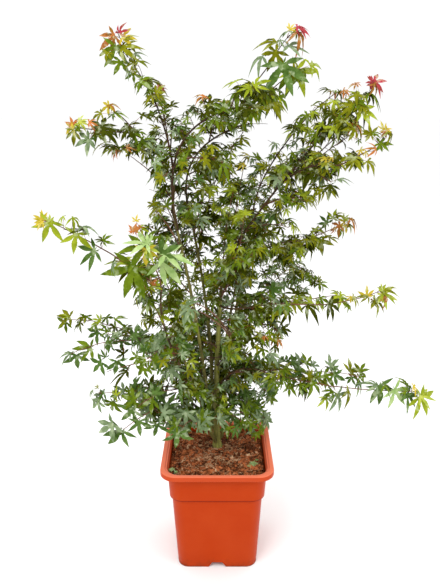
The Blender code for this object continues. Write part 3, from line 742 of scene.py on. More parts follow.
LIMBS = (
    Limb("trunk", None, 0.0, 0, 288, 0.035, 0.690, (-0.010, -0.010, -0.010), 0.0090, 0.0036),
    Limb("stem_front_left", "trunk", 0.045, 250, 247, 0.190, 0.580, (-0.010, 0.010, -0.045),
         0.0034, 0.0020),
    Limb("stem_outer_left", "trunk", 0.075, 200, 223, 0.125, 0.850, (0.035, 0.055, 0.075),
         0.0044, 0.0026),
    Limb("stem_right", "trunk", 0.055, 20, 47, 0.090, 0.705, (-0.025, 0.005, -0.075),
         0.0038, 0.0024),
    Limb("stem_back", "trunk", 0.085, 90, 53, 0.140, 0.810, (0.010, 0.055, -0.065),
         0.0040, 0.0024),
    Limb("stem_left", "trunk", 0.120, 155, 175, 0.060, 0.830, (-0.035, 0.010, -0.010),
         0.0048, 0.0026),
    Limb("bough_top_left", "stem_outer_left", 1.0, 0, 211, 0.145, 1.075, (-0.035, 0.0, -0.010),
         0.0024, 0.0015),
    Limb("bough_top", "stem_outer_left", 0.94, 300, 288, 0.140, 1.060, (-0.100, -0.045, 0.090),
         0.0023, 0.0016),
    Limb("bough_upper_left", "bough_top_left", 0.30, 220, 220, 0.240, 1.015, (0.005, 0.030, 0.050),
         0.0017, 0.0015),
    Limb("bough_crown", "stem_left", 1.0, 0, 328, 0.065, 1.025, (-0.095, -0.015, 0.045),
         0.0024, 0.0016),
    Limb("bough_shoulder", "trunk", 1.0, 0, 359, 0.205, 0.980, (-0.080, 0.020, -0.070),
         0.0033, 0.0020),
    Limb("bough_shoulder_back", "stem_back", 1.0, 0, 30, 0.190, 0.990, (-0.035, 0.005, -0.010),
         0.0022, 0.0015),
    Limb("bough_outer_right", "bough_shoulder", 0.72, 300, 332, 0.265, 0.950,
         (0.020, -0.035, 0.030), 0.0018, 0.0015),
    Limb("bough_right", "stem_right", 1.0, 0, 31, 0.200, 0.730, (-0.035, 0.010, 0.010),
         0.0022, 0.0015),
    Limb("bough_mid_right", "trunk", 0.86, 300, 313, 0.170, 0.665, (-0.010, -0.035, -0.010),
         0.0022, 0.0015),
    Limb("bough_low_right", "trunk", 0.40, 330, 322, 0.130, 0.490, (-0.005, -0.020, 0.045),
         0.0026, 0.0017),
    Limb("bough_left", "stem_outer_left", 0.18, 225, 248, 0.275, 0.730, (0.090, -0.030, 0.080),
         0.0028, 0.0018),
    Limb("bough_mid_left", "stem_outer_left", 0.35, 150, 165, 0.180, 0.520, (0.040, -0.050, 0.030),
         0.0020, 0.0015),
    Limb("bough_low_left", "stem_front_left", 0.24, 190, 225, 0.175, 0.470,
         (0.010, 0.015, 0.085), 0.0022, 0.0015),
    Limb("bough_back_left", "stem_left", 0.42, 120, 123, 0.245, 0.610, (0.045, -0.025, -0.050),
         0.0022, 0.0015),
    Limb("bough_back_right", "stem_back", 0.45, 60, 57, 0.255, 0.595, (0.025, 0.010, -0.025),
         0.0022, 0.0015),
    Limb("bough_front", "trunk", 0.52, 280, 278, 0.205, 0.625, (0.015, 0.015, 0.005),
         0.0022, 0.0015),
)

Mixed = tuple[Tint, ...]
DARK: Mixed = (SHADE, SHADE, MID, OLIVE, DUSTY)
GREEN: Mixed = (SHADE, MID, OLIVE, MID, FRESH)
SUNLIT: Mixed = (OLIVE, SHADE, OLIVE, FRESH, SHADE, MID)
LOW: Mixed = (DEEP, DEEP, MID, DUSTY)
INNER: Mixed = (DUSTY, SHADE, DEEP, MID)
YOUNG: Mixed = (GOLD, BRONZE, CRIMSON)


@dataclass(frozen=True)
class Mass:
    """One shoot with its mass of leaves, placed as a limb is, and the colours of its leaves."""

    name: str
    parent: str
    at: float
    heading: float
    reach: float
    height: float
    spread: float
    body: Mixed
    tip: Mixed
    bow: Triple = (0.0, 0.0, 0.020)
    leaf: float = 0.026
    side: float = 0.60
    fill: float = 0.90
    hang: float = 0.15


STRAIGHT = (0.0, 0.0, 0.0)
MASSES = (
    Mass("tuft_top_left", "bough_top_left", 1.0, 206, 0.22, 1.215, 0.055, SUNLIT,
         (BRONZE, GOLD, BRONZE, OLIVE), bow=(0.01, 0.0, 0.01), leaf=0.038, side=0.8, fill=1.0,
         hang=0.6),
    Mass("spray_left_shoulder", "bough_top_left", 0.55, 203, 0.09, 1.08, 0.065, GREEN, (OLIVE, BRONZE),
         leaf=0.024, side=0.3, fill=0.7),
    Mass("spray_upper_left", "bough_upper_left", 1.0, 211, 0.325, 1.025, 0.055, SUNLIT,
         (BRONZE, GOLD, FRESH), bow=(0.015, 0.0, 0.0), leaf=0.033, side=0.7, fill=1.0, hang=0.3),
    Mass("tuft_upper_left", "bough_upper_left", 0.75, 217, 0.255, 1.065, 0.048, SUNLIT, (BRONZE, GOLD),
         bow=(0.015, 0.0, 0.02), leaf=0.033, side=0.4, hang=0.3),
    Mass("spray_under_left", "bough_top_left", 0.12, 184, 0.195, 0.97, 0.055, GREEN, (OLIVE,),
         leaf=0.024, side=0.25, fill=0.35),
    Mass("spray_crown_left", "bough_top", 0.42, 265, 0.235, 0.975, 0.08, DARK, (OLIVE,), side=0.9),
    Mass("tuft_top", "bough_top", 1.0, 313, 0.21, 1.2, 0.065, GREEN, (BRONZE, OLIVE),
         bow=(0.0, 0.0, 0.005), leaf=0.04, side=0.35, fill=1.0, hang=0.5),
    Mass("tuft_crown_right", "bough_crown", 1.0, 313, 0.21, 1.11, 0.065, GREEN, (OLIVE,),
         bow=(0.015, 0.0, 0.045), leaf=0.04, side=0.35, fill=0.8, hang=0.4),
    Mass("spray_crown", "bough_crown", 0.68, 12, 0.025, 1.08, 0.07, GREEN, (BRONZE, OLIVE), leaf=0.028),
    Mass("spray_crown_middle", "bough_crown", 0.35, 51, 0.085, 0.925, 0.08, DARK, (OLIVE, MID),
         side=0.9),
    Mass("tuft_right_shoulder", "bough_shoulder", 1.0, 354, 0.335, 1.105, 0.06, SUNLIT, (BRONZE, OLIVE),
         bow=(0.005, 0.0, 0.03), leaf=0.034, side=0.7, fill=1.0, hang=0.3),
    Mass("spray_shoulder_back", "bough_shoulder_back", 1.0, 18, 0.31, 1.105, 0.06, SUNLIT,
         (OLIVE, BRONZE), bow=(0.015, 0.0, 0.04), leaf=0.028, side=0.5),
    Mass("tuft_outer_right", "bough_outer_right", 1.0, 337, 0.365, 1.015, 0.052, SUNLIT, (GOLD, BRONZE),
         bow=(0.03, 0.005, 0.0), leaf=0.034, fill=1.0, hang=0.3),
    Mass("spray_outer_right", "bough_outer_right", 0.45, 325, 0.305, 0.905, 0.07, DARK, (OLIVE,),
         side=0.4, fill=0.4),
    Mass("spray_shoulder", "bough_shoulder", 0.55, 337, 0.215, 0.875, 0.08, GREEN, (FRESH, OLIVE),
         side=0.8),
    Mass("spray_middle", "trunk", 0.93, 296, 0.195, 0.8, 0.08, DARK, (OLIVE, MID), leaf=0.025, side=0.9),
    Mass("tuft_left", "stem_outer_left", 0.7, 209, 0.195, 0.83, 0.06, GREEN, (BRONZE, FRESH),
         bow=STRAIGHT, leaf=0.028, side=0.4),
    Mass("spray_middle_left", "stem_outer_left", 0.88, 161, 0.14, 0.88, 0.07, DARK, (OLIVE,),
         leaf=0.024, side=0.8),
    Mass("spray_middle_back", "stem_back", 0.78, 78, 0.225, 0.87, 0.08, DARK, (MID,), leaf=0.024,
         side=0.9),
    Mass("tuft_right", "bough_right", 1.0, 15, 0.33, 0.8, 0.058, SUNLIT, (GOLD, OLIVE),
         bow=(0.015, 0.0, 0.015), leaf=0.034, side=0.5, fill=1.0, hang=0.2),
    Mass("spray_right_back", "bough_right", 0.55, 41, 0.375, 0.6, 0.075, DARK, (MID,), fill=0.6),
    Mass("tuft_mid_right", "bough_mid_right", 1.0, 337, 0.395, 0.71, 0.048, GREEN, (LIME, GOLD, FRESH),
         bow=(0.03, 0.0, -0.03), leaf=0.036, side=0.35, fill=0.8, hang=0.2),
    Mass("spray_mid_right", "bough_mid_right", 0.5, 315, 0.19, 0.58, 0.075, DARK, (OLIVE, BRONZE),
         side=0.8),
    Mass("tuft_low_right", "bough_low_right", 1.0, 342, 0.475, 0.47, 0.055, GREEN, (LIME, FRESH),
         bow=(-0.005, -0.005, -0.025), leaf=0.036, side=0.35, fill=0.85, hang=0.3),
    Mass("spray_foot_right", "stem_right", 0.3, 27, 0.14, 0.3, 0.06, LOW, (DUSTY,), leaf=0.03, side=0.8,
         fill=1.0),
    Mass("spray_foot", "trunk", 0.2, 300, 0.125, 0.38, 0.06, LOW, (MID,), leaf=0.03, side=0.5,
         fill=0.55),
    Mass("tuft_low_left", "bough_low_left", 1.0, 208, 0.31, 0.465, 0.055, LOW, (MID, FRESH),
         bow=(0.02, 0.0, 0.0), leaf=0.038, side=0.5),
    Mass("spray_low_left", "bough_low_left", 0.65, 230, 0.325, 0.42, 0.06, LOW, (MID, DUSTY),
         bow=(0.02, -0.01, 0.01), leaf=0.04, side=0.5),
    Mass("spray_foot_left", "stem_front_left", 0.35, 250, 0.225, 0.42, 0.065, LOW, (MID, DUSTY),
         leaf=0.036, fill=0.8),
    Mass("tuft_mid_left", "bough_mid_left", 1.0, 171, 0.405, 0.565, 0.052, INNER, (FRESH, OLIVE),
         bow=(0.015, 0.0, 0.035), leaf=0.032, side=0.5, fill=1.0, hang=0.05),
    Mass("spray_mid_left", "bough_mid_left", 0.6, 189, 0.355, 0.52, 0.052, LOW, (MID,),
         bow=(0.025, -0.005, 0.045), leaf=0.034, side=0.45, fill=1.0, hang=0.1),
    Mass("spray_low_middle_left", "stem_front_left", 1.0, 240, 0.295, 0.59, 0.07, LOW, (MID, OLIVE),
         side=0.8),
    Mass("tuft_far_left", "bough_left", 1.0, 223, 0.43, 0.88, 0.06, GREEN, (GOLD, LIME, FRESH),
         bow=(0.025, -0.005, 0.04), leaf=0.038, side=0.25, fill=0.8, hang=0.2),
    Mass("spray_front", "bough_front", 1.0, 262, 0.345, 0.745, 0.085, INNER, (MID, OLIVE), side=0.5,
         fill=0.45),
    Mass("spray_back_left", "bough_back_left", 1.0, 122, 0.36, 0.65, 0.085, INNER, (DUSTY, MID),
         side=0.9),
    Mass("spray_back_right", "bough_back_right", 1.0, 59, 0.4, 0.62, 0.085, INNER, (DUSTY, MID),
         side=0.9),
)

FINER = (
    Mass("riser_crown", "stem_left", 0.85, 13, 0.065, 1.025, 0.05, GREEN, (OLIVE,),
         bow=(-0.03, 0.0, 0.03), side=0.55),
    Mass("riser_middle", "trunk", 0.97, 299, 0.075, 0.905, 0.055, GREEN, (FRESH, OLIVE),
         bow=(-0.02, 0.0, -0.02), leaf=0.025),
    Mass("riser_shoulder", "bough_shoulder", 0.22, 21, 0.07, 0.97, 0.055, GREEN, (OLIVE, GOLD),
         bow=(-0.03, 0.0, -0.03), leaf=0.025),
    Mass("riser_front", "trunk", 0.9, 295, 0.14, 0.86, 0.055, SUNLIT, (FRESH,),
         bow=(0.02, 0.0, -0.02)),
    Mass("riser_back", "stem_back", 0.9, 26, 0.125, 0.945, 0.05, DARK, (OLIVE,), leaf=0.024),
    Mass("shoot_right", "bough_shoulder", 0.35, 333, 0.185, 0.82, 0.055, SUNLIT, (FRESH, OLIVE),
         leaf=0.027, side=0.55),
    Mass("shoot_right_back", "bough_right", 0.2, 4, 0.23, 0.775, 0.05, GREEN, (OLIVE,), side=0.55),
    Mass("riser_left", "stem_left", 0.93, 256, 0.075, 0.905, 0.055, GREEN, (FRESH, OLIVE),
         bow=(0.0, 0.0, 0.01), leaf=0.025),
    Mass("shoot_left", "stem_outer_left", 0.88, 222, 0.185, 0.88, 0.045, DARK, (OLIVE,),
         bow=(0.0, 0.0, 0.01), leaf=0.024, side=0.5),
    Mass("shoot_near_left", "bough_left", 0.8, 240, 0.32, 0.79, 0.05, GREEN, (FRESH, BRONZE),
         leaf=0.028, side=0.5),
    Mass("riser_far_right", "bough_shoulder", 0.62, 5, 0.26, 1.05, 0.05, SUNLIT, (OLIVE, BRONZE),
         bow=(0.0, 0.0, -0.01), leaf=0.027, side=0.5),
    Mass("shoot_far_right", "bough_shoulder", 0.8, 350, 0.31, 1.06, 0.055, SUNLIT, (BRONZE, OLIVE),
         bow=(0.0, 0.0, -0.02), leaf=0.034, side=0.7, fill=1.0, hang=0.4),
    Mass("shoot_right_end", "bough_outer_right", 0.2, 346, 0.3, 1.02, 0.05, SUNLIT, (GOLD, OLIVE),
         bow=STRAIGHT, leaf=0.032, fill=1.0),
    Mass("shoot_outer_right", "bough_outer_right", 0.55, 343, 0.32, 0.975, 0.05, SUNLIT, (GOLD, FRESH),
         bow=STRAIGHT, leaf=0.027, side=0.5, hang=0.4),
    Mass("arm_low_right", "bough_low_right", 0.5, 351, 0.35, 0.465, 0.05, LOW, (MID, OLIVE),
         leaf=0.034, side=0.5, fill=1.0),
    Mass("arm_mid_right", "bough_mid_right", 0.6, 349, 0.29, 0.665, 0.045, GREEN, (FRESH,),
         bow=STRAIGHT, leaf=0.028, side=0.5),
    Mass("shoot_low_right", "stem_right", 0.4, 10, 0.145, 0.375, 0.06, LOW, (DUSTY,), leaf=0.03,
         side=0.8, fill=1.0),
    Mass("arm_left", "bough_mid_left", 0.45, 183, 0.29, 0.56, 0.05, INNER, (MID,), leaf=0.034,
         fill=1.0),
    Mass("arm_front_left", "stem_front_left", 0.92, 212, 0.295, 0.52, 0.055, LOW, (MID, DUSTY),
         leaf=0.038, fill=1.0),
    Mass("shoot_low_left", "bough_low_left", 0.8, 234, 0.29, 0.475, 0.055, LOW, (MID,), leaf=0.034,
         side=0.5),
    Mass("shoot_upper_left", "bough_upper_left", 0.45, 215, 0.285, 0.99, 0.045, SUNLIT, (BRONZE, OLIVE),
         bow=(0.0, 0.0, 0.01), leaf=0.027, side=0.5),
    Mass("shoot_bronze", "bough_top_left", 0.55, 217, 0.145, 1.105, 0.035, SUNLIT, (BRONZE, CRIMSON),
         bow=STRAIGHT, leaf=0.025, side=0.4),
    Mass("shoot_crown", "bough_top", 0.82, 259, 0.16, 1.085, 0.04, SUNLIT, (BRONZE,),
         bow=STRAIGHT, side=0.5),
    Mass("tuft_top_lower", "bough_crown", 1.0, 340, 0.19, 1.145, 0.06, GREEN, (OLIVE, FRESH),
         bow=(0.0, 0.0, 0.03), leaf=0.04, side=0.3, hang=0.4),
    Mass("shoot_high_back", "bough_shoulder_back", 0.6, 16, 0.24, 0.965, 0.05, GREEN, (OLIVE,),
         bow=STRAIGHT, side=0.5),
    Mass("shoot_pot_left", "stem_front_left", 0.3, 231, 0.2, 0.4, 0.055, LOW, (DEEP,),
         bow=(0.0, 0.0, 0.03), leaf=0.036, side=0.5),
    Mass("shoot_pot_right", "stem_right", 0.2, 342, 0.115, 0.31, 0.05, LOW, (MID,),
         bow=(0.0, 0.0, 0.03), leaf=0.028, side=0.5),
    Mass("shoot_top_side", "bough_top", 0.95, 292, 0.145, 1.125, 0.05, GREEN, (OLIVE,),
         bow=STRAIGHT, leaf=0.034, side=0.2, hang=0.4),
    Mass("shoot_low_middle", "trunk", 0.62, 252, 0.14, 0.575, 0.05, INNER, (MID,), leaf=0.024),
    Mass("shoot_nearest", "bough_left", 1.0, 251, 0.355, 0.83, 0.05, GREEN, (GOLD,), leaf=0.03,
         side=0.0, fill=0.0),
    Mass("shoot_front", "bough_front", 0.95, 264, 0.400, 0.745, 0.045, INNER, (MID, DUSTY),
         leaf=0.028, side=0.5),
)


# --- trunk, stems and boughs ---
EYE = Vector((0.0066, -1.325, 1.062))
PITCH = 16.9
FOCAL = 617.0
FRAME = (440, 587)


def sight(across: float, down: float, plane: float) -> Vector:
    """Where a line of sight of the camera meets an upright plane.

    Args:
        across: where the line crosses the camera's frame, in pixels from its left edge.
        down: the same, from its top edge.
        plane: the plane's place along Y.

    Returns:
        The point.
    """
    pitch = math.radians(PITCH)
    ahead = Vector((0.0, math.cos(pitch), -math.sin(pitch)))
    up = Vector((0.0, math.sin(pitch), math.cos(pitch)))
    aside = Vector((across - FRAME[0] / 2, 0.0, 0.0)) / FOCAL
    aim = ahead + aside + up * (FRAME[1] / 2 - down) / FOCAL
    return EYE + aim * ((plane - EYE.y) / aim.y)


class Gap(NamedTuple):
    """A round patch of open sky between leaves, in pixels of the camera's frame."""

    across: float
    down: float
    half: float


class Mark(NamedTuple):
    """One leaf from the top of its stalk to its tip, in pixels of the camera's frame.

    Front is how much of its face it shows: 0 is edge on and 3 is full face.
    """

    tint: Tint
    across: float
    down: float
    tip_across: float
    tip_down: float
    front: int


SHOWN = (
    ("trunk", 0.0, 0.98), ("stem_left", 0.25, 0.95), ("stem_outer_left", 0.30, 0.98),
    ("stem_back", 0.45, 0.70), ("bough_top", 0.05, 0.80), ("bough_crown", 0.15, 0.85),
    ("bough_shoulder", 0.25, 0.98), ("bough_shoulder_back", 0.30, 0.98), ("bough_left", 0.35, 0.98),
    ("bough_mid_right", 0.10, 0.70), ("bough_top_left", 0.10, 0.90), ("bough_low_right", 0.30, 0.95),
)
OPENINGS = (
    Gap(108, 21, 8), Gap(130, 102, 13), Gap(120, 90, 7), Gap(134, 118, 8), Gap(145, 123, 6),
    Gap(156, 66, 10), Gap(178, 112, 5), Gap(184, 98, 11), Gap(128, 176, 20), Gap(146, 186, 6),
    Gap(112, 220, 9), Gap(238, 62, 9), Gap(252, 70, 6), Gap(262, 119, 6), Gap(264, 136, 9),
    Gap(276, 122, 8), Gap(302, 106, 8), Gap(328, 121, 4), Gap(320, 148, 4), Gap(330, 146, 7),
    Gap(352, 143, 6), Gap(356, 136, 5), Gap(358, 173, 7), Gap(345, 199, 5), Gap(288, 150, 4),
    Gap(236, 174, 6), Gap(197, 186, 3), Gap(213, 233, 6), Gap(161, 229, 4), Gap(308, 214, 9),
    Gap(316, 257, 6), Gap(259, 268, 5), Gap(184, 280, 6), Gap(158, 273, 4), Gap(335, 286, 6),
    Gap(98, 300, 12), Gap(128, 306, 6), Gap(155, 330, 5), Gap(148, 356, 5), Gap(113, 370, 5),
    Gap(172, 390, 8), Gap(196, 404, 7), Gap(303, 316, 6), Gap(322, 322, 10), Gap(345, 320, 7),
    Gap(250, 347, 5), Gap(310, 336, 16), Gap(297, 320, 7), Gap(328, 355, 7), Gap(345, 358, 6),
    Gap(257, 386, 5), Gap(264, 404, 5), Gap(237, 411, 5), Gap(285, 398, 7), Gap(300, 401, 8),
    Gap(364, 405, 7), Gap(393, 374, 6),
)

SET_LEAVES = {
    "shoot_nearest": (
        Mark(BRONZE, 134, 231, 129, 228, 3), Mark(BRONZE, 134, 231, 135, 223, 3),
        Mark(GOLD, 136, 221, 136.5, 215, 3), Mark(DUSTY, 115, 261.5, 104, 270, 0),
        Mark(MID, 143, 281, 130, 297, 1), Mark(PALE, 165, 254, 194, 260, 1),
        Mark(DEEP, 162, 255, 176, 241, 2), Mark(PALE, 147, 243, 121, 241, 1),
        Mark(PALE, 147, 243, 146, 233, 2), Mark(MID, 145, 247, 116, 251, 2),
        Mark(MID, 134, 267, 119, 297, 3), Mark(PALE, 161, 262, 183, 279, 3),
        Mark(LIME, 147, 249, 160, 251, 2), Mark(GOLD, 146, 249, 146, 266, 3),
    ),
    "tuft_far_left": (
        Mark(GOLD, 43, 221, 33, 217, 2), Mark(GOLD, 42, 220, 40, 210.5, 3),
        Mark(GOLD, 43, 222, 33, 222, 2), Mark(FRESH, 50, 222, 41.5, 243, 3),
        Mark(FRESH, 50, 221, 48.5, 214, 2), Mark(LIME, 64, 217, 55, 220.5, 1),
        Mark(FRESH, 72, 218, 83, 224, 1), Mark(SHADE, 84, 229.8, 61, 228.2, 0),
        Mark(DUSTY, 82, 227, 98, 226.5, 0), Mark(FRESH, 76.4, 233.6, 73, 255, 3),
        Mark(DEEP, 95, 250.7, 77.5, 262.5, 2), Mark(SHADE, 103.2, 240.7, 94.6, 237.9, 2),
        Mark(MID, 103.2, 240.7, 110.7, 234.6, 2),
    ),
    "tuft_top_left": (
        Mark(CRIMSON, 119.5, 33, 122.5, 21, 1), Mark(GOLD, 122, 37, 136, 36, 2),
        Mark(OLIVE, 123, 39, 131, 30, 1), Mark(BRONZE, 115, 36, 99, 47, 3),
        Mark(BRONZE, 114, 35, 105, 32, 1), Mark(MID, 116, 46, 108.5, 67, 3),
        Mark(MID, 120.5, 61, 116, 76, 3), Mark(SHADE, 126, 50, 133, 55, 2),
        Mark(DUSTY, 134, 54.5, 144.5, 50, 1), Mark(DUSTY, 130, 71, 122, 74.5, 1),
        Mark(MID, 133, 73, 134, 84, 2), Mark(OLIVE, 132, 69, 139, 70.5, 2),
        Mark(OLIVE, 107, 52, 104, 62, 2),
    ),
    "tuft_top": (
        Mark(OLIVE, 277, 43, 257, 38, 1), Mark(DUSTY, 263, 57, 245, 63, 1),
        Mark(OLIVE, 276, 52, 268, 70, 2), Mark(CRIMSON, 296, 28, 308, 22, 1),
        Mark(CRIMSON, 297, 27, 312, 30.5, 1), Mark(GOLD, 290, 30, 294.5, 21.5, 2),
        Mark(BRONZE, 297, 32, 312, 43, 1), Mark(OLIVE, 296, 32, 297, 40, 1),
        Mark(DUSTY, 290, 31, 277, 33, 0), Mark(DUSTY, 288, 46, 311, 50.5, 1),
        Mark(DEEP, 283, 64, 289.5, 97, 2), Mark(DUSTY, 281, 40, 276, 47, 1),
    ),
    "tuft_top_lower": (
        Mark(FRESH, 296, 70, 311, 95, 2), Mark(OLIVE, 292, 60, 306, 72, 1),
        Mark(MID, 291, 73, 290.5, 96, 1), Mark(MID, 300, 72, 305, 88, 1),
    ),
    "tuft_right_shoulder": (
        Mark(CRIMSON, 373, 82, 388, 80, 2), Mark(CRIMSON, 372, 82, 367, 77, 2),
        Mark(CRIMSON, 371, 83, 371, 89.5, 2), Mark(CRIMSON, 374, 82, 388, 85.5, 1),
        Mark(BRONZE, 356, 84, 347, 87, 1), Mark(BRONZE, 356, 83.5, 361, 81, 1),
        Mark(MID, 368, 93, 383, 94, 0), Mark(SHADE, 369, 94, 377, 105, 1),
        Mark(BRONZE, 374, 84, 380, 95, 1),
    ),
    "spray_upper_left": (
        Mark(BRONZE, 73, 125, 70.5, 116, 2), Mark(BRONZE, 73, 124, 77, 118.5, 1),
        Mark(GOLD, 73, 126, 65, 134, 2), Mark(OLIVE, 74, 130, 72.5, 145, 2),
        Mark(LIME, 79, 122.5, 88.5, 129, 2), Mark(LIME, 79, 122.5, 87, 117, 2),
        Mark(DUSTY, 89, 138.5, 74, 147.5, 2), Mark(DEEP, 89.5, 139, 88, 150, 2),
        Mark(MID, 78, 127, 76, 133, 2),
    ),
    "tuft_upper_left": (
        Mark(BRONZE, 110, 105, 120, 104.3, 1), Mark(BRONZE, 110, 105, 113.5, 111, 1),
        Mark(GOLD, 109, 105.5, 100, 111.5, 2), Mark(OLIVE, 101.5, 113.5, 90.5, 117, 2),
        Mark(MID, 114, 113, 128, 112.5, 1), Mark(DUSTY, 112, 114, 113, 121, 1),
    ),
    "tuft_outer_right": (
        Mark(OLIVE, 371, 134.5, 369.4, 124, 3), Mark(OLIVE, 371, 134.5, 361, 134.8, 2),
        Mark(MID, 372, 133, 382, 129.5, 1), Mark(GOLD, 384, 130, 381.6, 122, 3),
        Mark(GOLD, 386, 130, 392, 126.5, 2), Mark(BRONZE, 386, 131, 385.5, 139.5, 3),
        Mark(OLIVE, 389, 131.5, 397.7, 140.5, 1), Mark(MID, 380, 143.5, 392.7, 142.5, 2),
        Mark(MID, 380, 143.5, 383.8, 152, 3), Mark(GOLD, 365, 152, 370.5, 156, 2),
    ),
    "shoot_outer_right": (Mark(GOLD, 360, 150, 364, 156, 2),),
    "shoot_right_end": (Mark(MID, 358, 140.5, 362.5, 143.5, 2),),
    "tuft_right": (
        Mark(DEEP, 327, 223, 320.5, 215, 3), Mark(MID, 327, 223, 319.5, 225.5, 1),
        Mark(FRESH, 333, 218.5, 335, 209.5, 3), Mark(OLIVE, 335.5, 215.5, 343, 209, 1),
        Mark(GOLD, 345, 222, 337, 219.5, 3), Mark(FRESH, 344, 220, 348.5, 213.5, 2),
        Mark(BRONZE, 350, 219, 361, 221.3, 1), Mark(OLIVE, 348, 224.5, 356.5, 228, 1),
        Mark(MID, 341, 229, 346.7, 237.5, 1), Mark(GOLD, 345, 225, 347, 234, 2),
        Mark(BRONZE, 340, 226, 329, 230, 2), Mark(BRONZE, 335, 228, 337.2, 234, 1),
        Mark(OLIVE, 329, 238, 339.5, 236, 1),
    ),
    "tuft_mid_right": (
        Mark(FRESH, 382, 292.5, 399, 289.3, 1), Mark(LIME, 382, 294, 399, 301.3, 2),
        Mark(LIME, 383, 294, 384.5, 303.7, 2), Mark(BRONZE, 385, 296, 393, 304.5, 1),
        Mark(OLIVE, 383, 290, 395, 284, 1), Mark(FRESH, 383, 291, 382, 284.5, 2),
        Mark(GOLD, 367, 296, 365.3, 286.3, 3), Mark(OLIVE, 374.5, 300.5, 387.7, 309.6, 1),
        Mark(OLIVE, 374, 301, 379.5, 296, 2), Mark(OLIVE, 374, 301, 369.3, 306.4, 2),
        Mark(OLIVE, 368, 297, 357, 294, 1), Mark(GOLD, 351, 296.5, 350, 303.7, 3),
        Mark(OLIVE, 353, 297.5, 362, 304, 1), Mark(MID, 347, 304, 353.7, 309, 1),
    ),
    "tuft_low_right": (
        Mark(FRESH, 419.5, 397, 434.7, 415.3, 2), Mark(LIME, 420, 396, 438, 401.2, 1),
        Mark(GOLD, 413, 386, 422.7, 391.3, 1), Mark(MID, 418, 393, 414, 391, 2),
        Mark(DEEP, 407, 394, 416.2, 409, 1), Mark(DEEP, 405, 393, 405.4, 403.6, 2),
        Mark(MID, 406, 392, 402, 387.3, 2), Mark(PALE, 394, 390, 405.6, 406.7, 2),
        Mark(DEEP, 379, 385.5, 385, 405, 3), Mark(MID, 384, 385, 396.5, 388, 1),
        Mark(DUSTY, 377, 386, 364, 379.5, 1), Mark(OLIVE, 347, 390.5, 357.8, 400.6, 1),
        Mark(DUSTY, 337.5, 394, 345.3, 412.5, 1),
    ),
    "arm_low_right": (
        Mark(MID, 359, 377, 367, 376.5, 2), Mark(DEEP, 352, 377, 348, 384.5, 2),
        Mark(DEEP, 357, 382, 367.5, 390.7, 1), Mark(DEEP, 358, 381, 366, 384, 1),
    ),
    "tuft_mid_left": (
        Mark(MID, 66, 322, 56, 328.5, 3), Mark(OLIVE, 70, 317, 56, 317, 2),
        Mark(FRESH, 68, 317, 61, 312.5, 1), Mark(OLIVE, 85, 317, 73, 315.8, 1),
        Mark(MID, 86, 316, 85.5, 325.5, 2), Mark(FRESH, 100.5, 321, 91, 316.8, 3),
        Mark(MID, 106, 317, 110, 325, 2), Mark(MID, 115, 320, 126.6, 315.4, 1),
        Mark(DEEP, 98, 332, 87, 339.5, 3), Mark(DUSTY, 108, 335, 101, 340, 2),
        Mark(DEEP, 121.5, 340, 120.5, 352.5, 2), Mark(DUSTY, 125, 335, 131, 340, 3),
    ),
    "spray_mid_left": (
        Mark(DEEP, 76.5, 355, 77, 370.5, 3), Mark(DUSTY, 71, 354, 58.5, 352, 1),
        Mark(MID, 91, 348, 71, 350.5, 2), Mark(DEEP, 105.5, 357.5, 102, 350.5, 3),
        Mark(SHADE, 124, 354, 113, 349, 2),
    ),
    "arm_front_left": (
        Mark(DEEP, 101.5, 362.5, 91, 372, 3), Mark(DEEP, 117, 361, 117, 375, 3),
        Mark(MID, 137.5, 356.5, 128, 361, 3), Mark(SHADE, 127, 371, 106.5, 383, 0),
        Mark(MID, 144, 368, 137, 379, 2),
    ),
    "tuft_low_left": (
        Mark(OLIVE, 98, 387, 94, 386, 2), Mark(DUSTY, 93, 390, 85.3, 394.2, 0),
        Mark(DEEP, 104, 392.5, 91, 396, 1), Mark(DUSTY, 102, 396, 89, 403, 2),
        Mark(DUSTY, 99, 402, 90.5, 411.5, 2), Mark(MID, 113.5, 402, 108.3, 416.2, 3),
        Mark(DUSTY, 124, 391, 112.3, 386.5, 2),
    ),
    "spray_low_left": (
        Mark(DEEP, 133.5, 410, 119.5, 424, 3), Mark(DUSTY, 113, 424, 99.8, 435.5, 3),
        Mark(DEEP, 121.5, 430.5, 110.5, 448.5, 3), Mark(DEEP, 139, 421, 140.6, 437.8, 3),
        Mark(DEEP, 167, 406, 172.5, 392, 3), Mark(SHADE, 157, 411, 145, 419, 1),
    ),
    "shoot_pot_left": (Mark(DEEP, 157, 424, 155.5, 440, 3),),
    "shoot_low_left": (Mark(MID, 153, 400, 139, 406.3, 3),),
    "spray_foot_left": (
        Mark(DEEP, 177.5, 433, 178, 452, 3), Mark(DUSTY, 186, 412, 184, 428, 2),
    ),
}

SEEDLINGS = ((0.085, -0.050, 0.013, 9), (0.075, -0.060, 0.008, 5), (0.095, -0.035, 0.007, 5),
             (-0.105, -0.075, 0.010, 7), (-0.095, -0.085, 0.007, 5))


